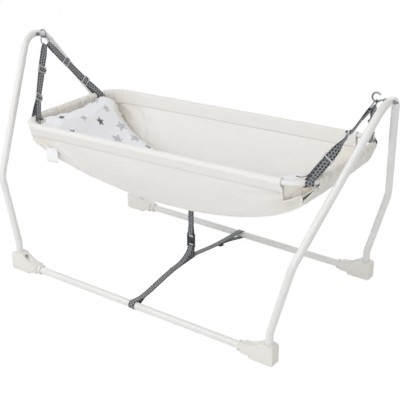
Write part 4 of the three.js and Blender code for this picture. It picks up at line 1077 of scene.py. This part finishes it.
def cornerStrap(sideName, side, rowName, row):
    ringRadius, width, half = hook["ring"], web["width"], web["frameHalf"]
    thick, fit = web["cadThickness"], web["fit"]
    centre, inward, _ = ringPlace(side)
    loop = rimPlace @ rimCorner(side, row, loopTurn(side))
    ahead = (loop - centre).normalized()
    start = centre + ahead * ringRadius
    length = (loop - start).length
    ringAcross = inward.cross(ahead).normalized()
    angle = radians(loopTurn(side))
    turned = rimPlace.to_3x3()
    tangent = turned @ Vector((-side * sin(angle), row * cos(angle), 0))
    if tangent.dot(ringAcross) < 0:
        tangent.negate()
    rimAcross = (tangent - ahead * tangent.dot(ahead)).normalized()
    adjusterRun, glideRun = web["adjuster"] * length, web["headGlide" if side < 0 else "footGlide"] * length
    twist = ringAcross.angle(rimAcross)
    hand = 1 if ringAcross.cross(rimAcross).dot(ahead) > 0 else -1

    def acrossAt(run):
        share = smooth(run, adjusterRun + half, glideRun - half)
        return Matrix.Rotation(hand * twist * share, 3, ahead) @ ringAcross

    def placeAt(run, off):
        return start + ahead * run + ahead.cross(acrossAt(run)) * off

    def station(spot):
        run, off = spot
        return placeAt(run, off), acrossAt(run), lerp(web["ringWidth"], width, smooth(run, 0, web["ringTail"]))

    ringReach = ringRadius - sqrt(ringRadius ** 2 - (web["ringWidth"] / 2) ** 2)
    spots = wrapBar(hook["ringWire"] + 2 * fit + thick / 2, web["ringTail"], -1, ringReach)
    spots += [(web["ringTail"] + 8, 0)] + weave(adjusterRun, web["hump"])
    spots += [(lerp(adjusterRun + half, glideRun - half, k / 10), 0) for k in range(1, 10)]
    split = glideRun + web["split"]
    spots += weave(glideRun, web["glideHump"]) + [(split, 0)]
    line = [station(spot) for spot in spots]
    outward = turned @ outFrom(side, row, angle)
    up = turned @ Vector((0, 0, 1))
    wrap = rim["tube"] + 3 * fit + width ** 2 / (8 * rim["corner"]) + thick / 2
    away = placeAt(split, 0) - loop
    aim, reach = atan2(away.dot(up), away.dot(outward)), hypot(away.dot(up), away.dot(outward))
    spread = acos(wrap / reach)
    rounds = [aim - spread - (2 * pi - 2 * spread) * k / 18 for k in range(19)]
    touches = [loop + outward * wrap * cos(a) + up * wrap * sin(a) for a in rounds]
    sewn = placeAt(split, thick + 2 * fit)

    def branch(a, b):
        return [(a.lerp(b, k / 8), rimAcross.lerp(tangent, smooth(k / 8, 0, 1)).normalized(), width)
                for k in range(1, 8)]

    line += branch(placeAt(split, 0), touches[0]) + [(p, tangent, width) for p in touches]
    line += branch(sewn, touches[-1])[::-1] + [(sewn, rimAcross, width)]
    where = rowName + sideName
    ribbon("cornerStrap" + where, line, "cradle")
    if (side, row) == (1, -1):  # its spare end hangs curled inside the cradle
        root = placeAt(split - 3, 2 * thick + 4 * fit)
        tip, steps = root + Vector(web["tail"]), web["tailSteps"]
        curl = bezier(root, root + ahead * web["tailStart"], tip + Vector(web["tailBend"]), tip, steps)
        edgeOn = Vector(web["tailEdge"])
        ribbon("cornerStrapTail", [(p, rimAcross.lerp(edgeOn, smooth(k / steps, 0, 0.8)).normalized(), width)
                                   for k, p in enumerate(curl)], "cradle")
    for kind in ("strapAdjuster", "triGlide"):
        seatEased(kind + where, 0.5, milkyAcetal, "cradle")


for sideName, side in sides:
    for rowName, row in rows:
        cornerStrap(sideName, side, rowName, row)
print("corner straps made")


# tether

tether = dict(width=20, junction=57, meet=7, sewnReach=103, sewnHeight=52, sewnLength=30,
              nearTail=42, farTail=150, slider=137, buckleTop=139, buckleBottom=93, buckleBar=4,
              barLoop=4.3, dropTail=26, keelGap=0.9)


def inTetherPlane(origin, ahead, spots):
    face = ahead.cross(Vector((1, 0, 0)))
    return [origin + ahead * run + face * off for run, off in spots]


def makeTether():
    t, thick, fit = tether, web["cadThickness"], web["fit"]
    across = Vector((1, 0, 0))

    def band(name, points, bodyName):
        return ribbon(name, [(p, across, t["width"]) for p in points], bodyName)

    slope = (t["junction"] - t["sewnHeight"]) / (t["sewnReach"] + t["meet"])
    loop = stand["tube"] + fit + thick / 2
    nearTube = Vector((0, -halfSpan, stand["baseHeight"]))
    sewn = Vector((0, -t["sewnReach"], t["sewnHeight"]))
    ahead = (sewn - nearTube).normalized()
    points = inTetherPlane(nearTube, ahead, wrapBar(loop, t["nearTail"], 1))
    band("nearArm", points + [sewn, Vector((0, t["meet"], t["junction"]))], "stand")

    farTube = Vector((0, halfSpan, stand["baseHeight"]))
    layer = thick + fit
    farBend = Vector((0, t["meet"] + layer, t["junction"] + layer))
    farEnd = Vector((0, -t["meet"], t["junction"] + layer - 2 * t["meet"] * slope))
    ahead = (farBend - farTube).normalized()
    spots = [(t["slider"] - run, -off - layer) for run, off in weave(0, fit)] + wrapBar(loop, t["farTail"], -1)[1:]
    band("farArm", inTetherPlane(farTube, ahead, spots) + [farBend, farEnd], "stand")

    up = Vector((0, 0, 1))
    socketBar = Vector((0, 0, t["buckleTop"] - t["buckleBar"] / 2))
    keel = rimPlace @ Vector((0, 0, -body["depth"] - body["sag"] - body["edgePull"]))
    points = inTetherPlane(socketBar, up, wrapBar(t["barLoop"], t["dropTail"], -1))
    points += [Vector((0, 0, lerp(points[-1].z, keel.z - t["keelGap"], k / 4))) for k in range(1, 5)]
    drop = band("dropStrap", points, None)
    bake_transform(drop)

    plugBar = Vector((0, 0, t["buckleBottom"] + t["buckleBar"] / 2))

    def onArm(y):
        return Vector((0, y, t["sewnHeight"] + (y + t["sewnReach"]) * slope + layer))

    climb = bezier(onArm(t["sewnLength"] - t["sewnReach"]), onArm(t["sewnLength"] * 2 - t["sewnReach"]),
                   Vector((0, -t["barLoop"], (plugBar.z + t["junction"]) / 2)),
                   Vector((0, -t["barLoop"], plugBar.z)), 12)
    over = [plugBar + Vector((0, cos(a), sin(a))) * t["barLoop"] for a in (pi * (1 - k / 8) for k in range(1, 9))]
    end = Vector((0, t["barLoop"], t["junction"] + 2 * layer))
    band("lowerStrap", [onArm(-t["sewnReach"])] + climb + over + [end], "stand")

    for name, bodyName, node in (("buckleSocket", "stand", None), ("bucklePlug", "stand", None),
                                 ("prongLeft", "prong_left", "buckle_prong_left"),
                                 ("prongRight", "prong_right", "buckle_prong_right"), ("armSlider", "stand", None)):
        seatEased(name, 0.45, blackAcetal, bodyName, node=node)


makeTether()
print("tether made")
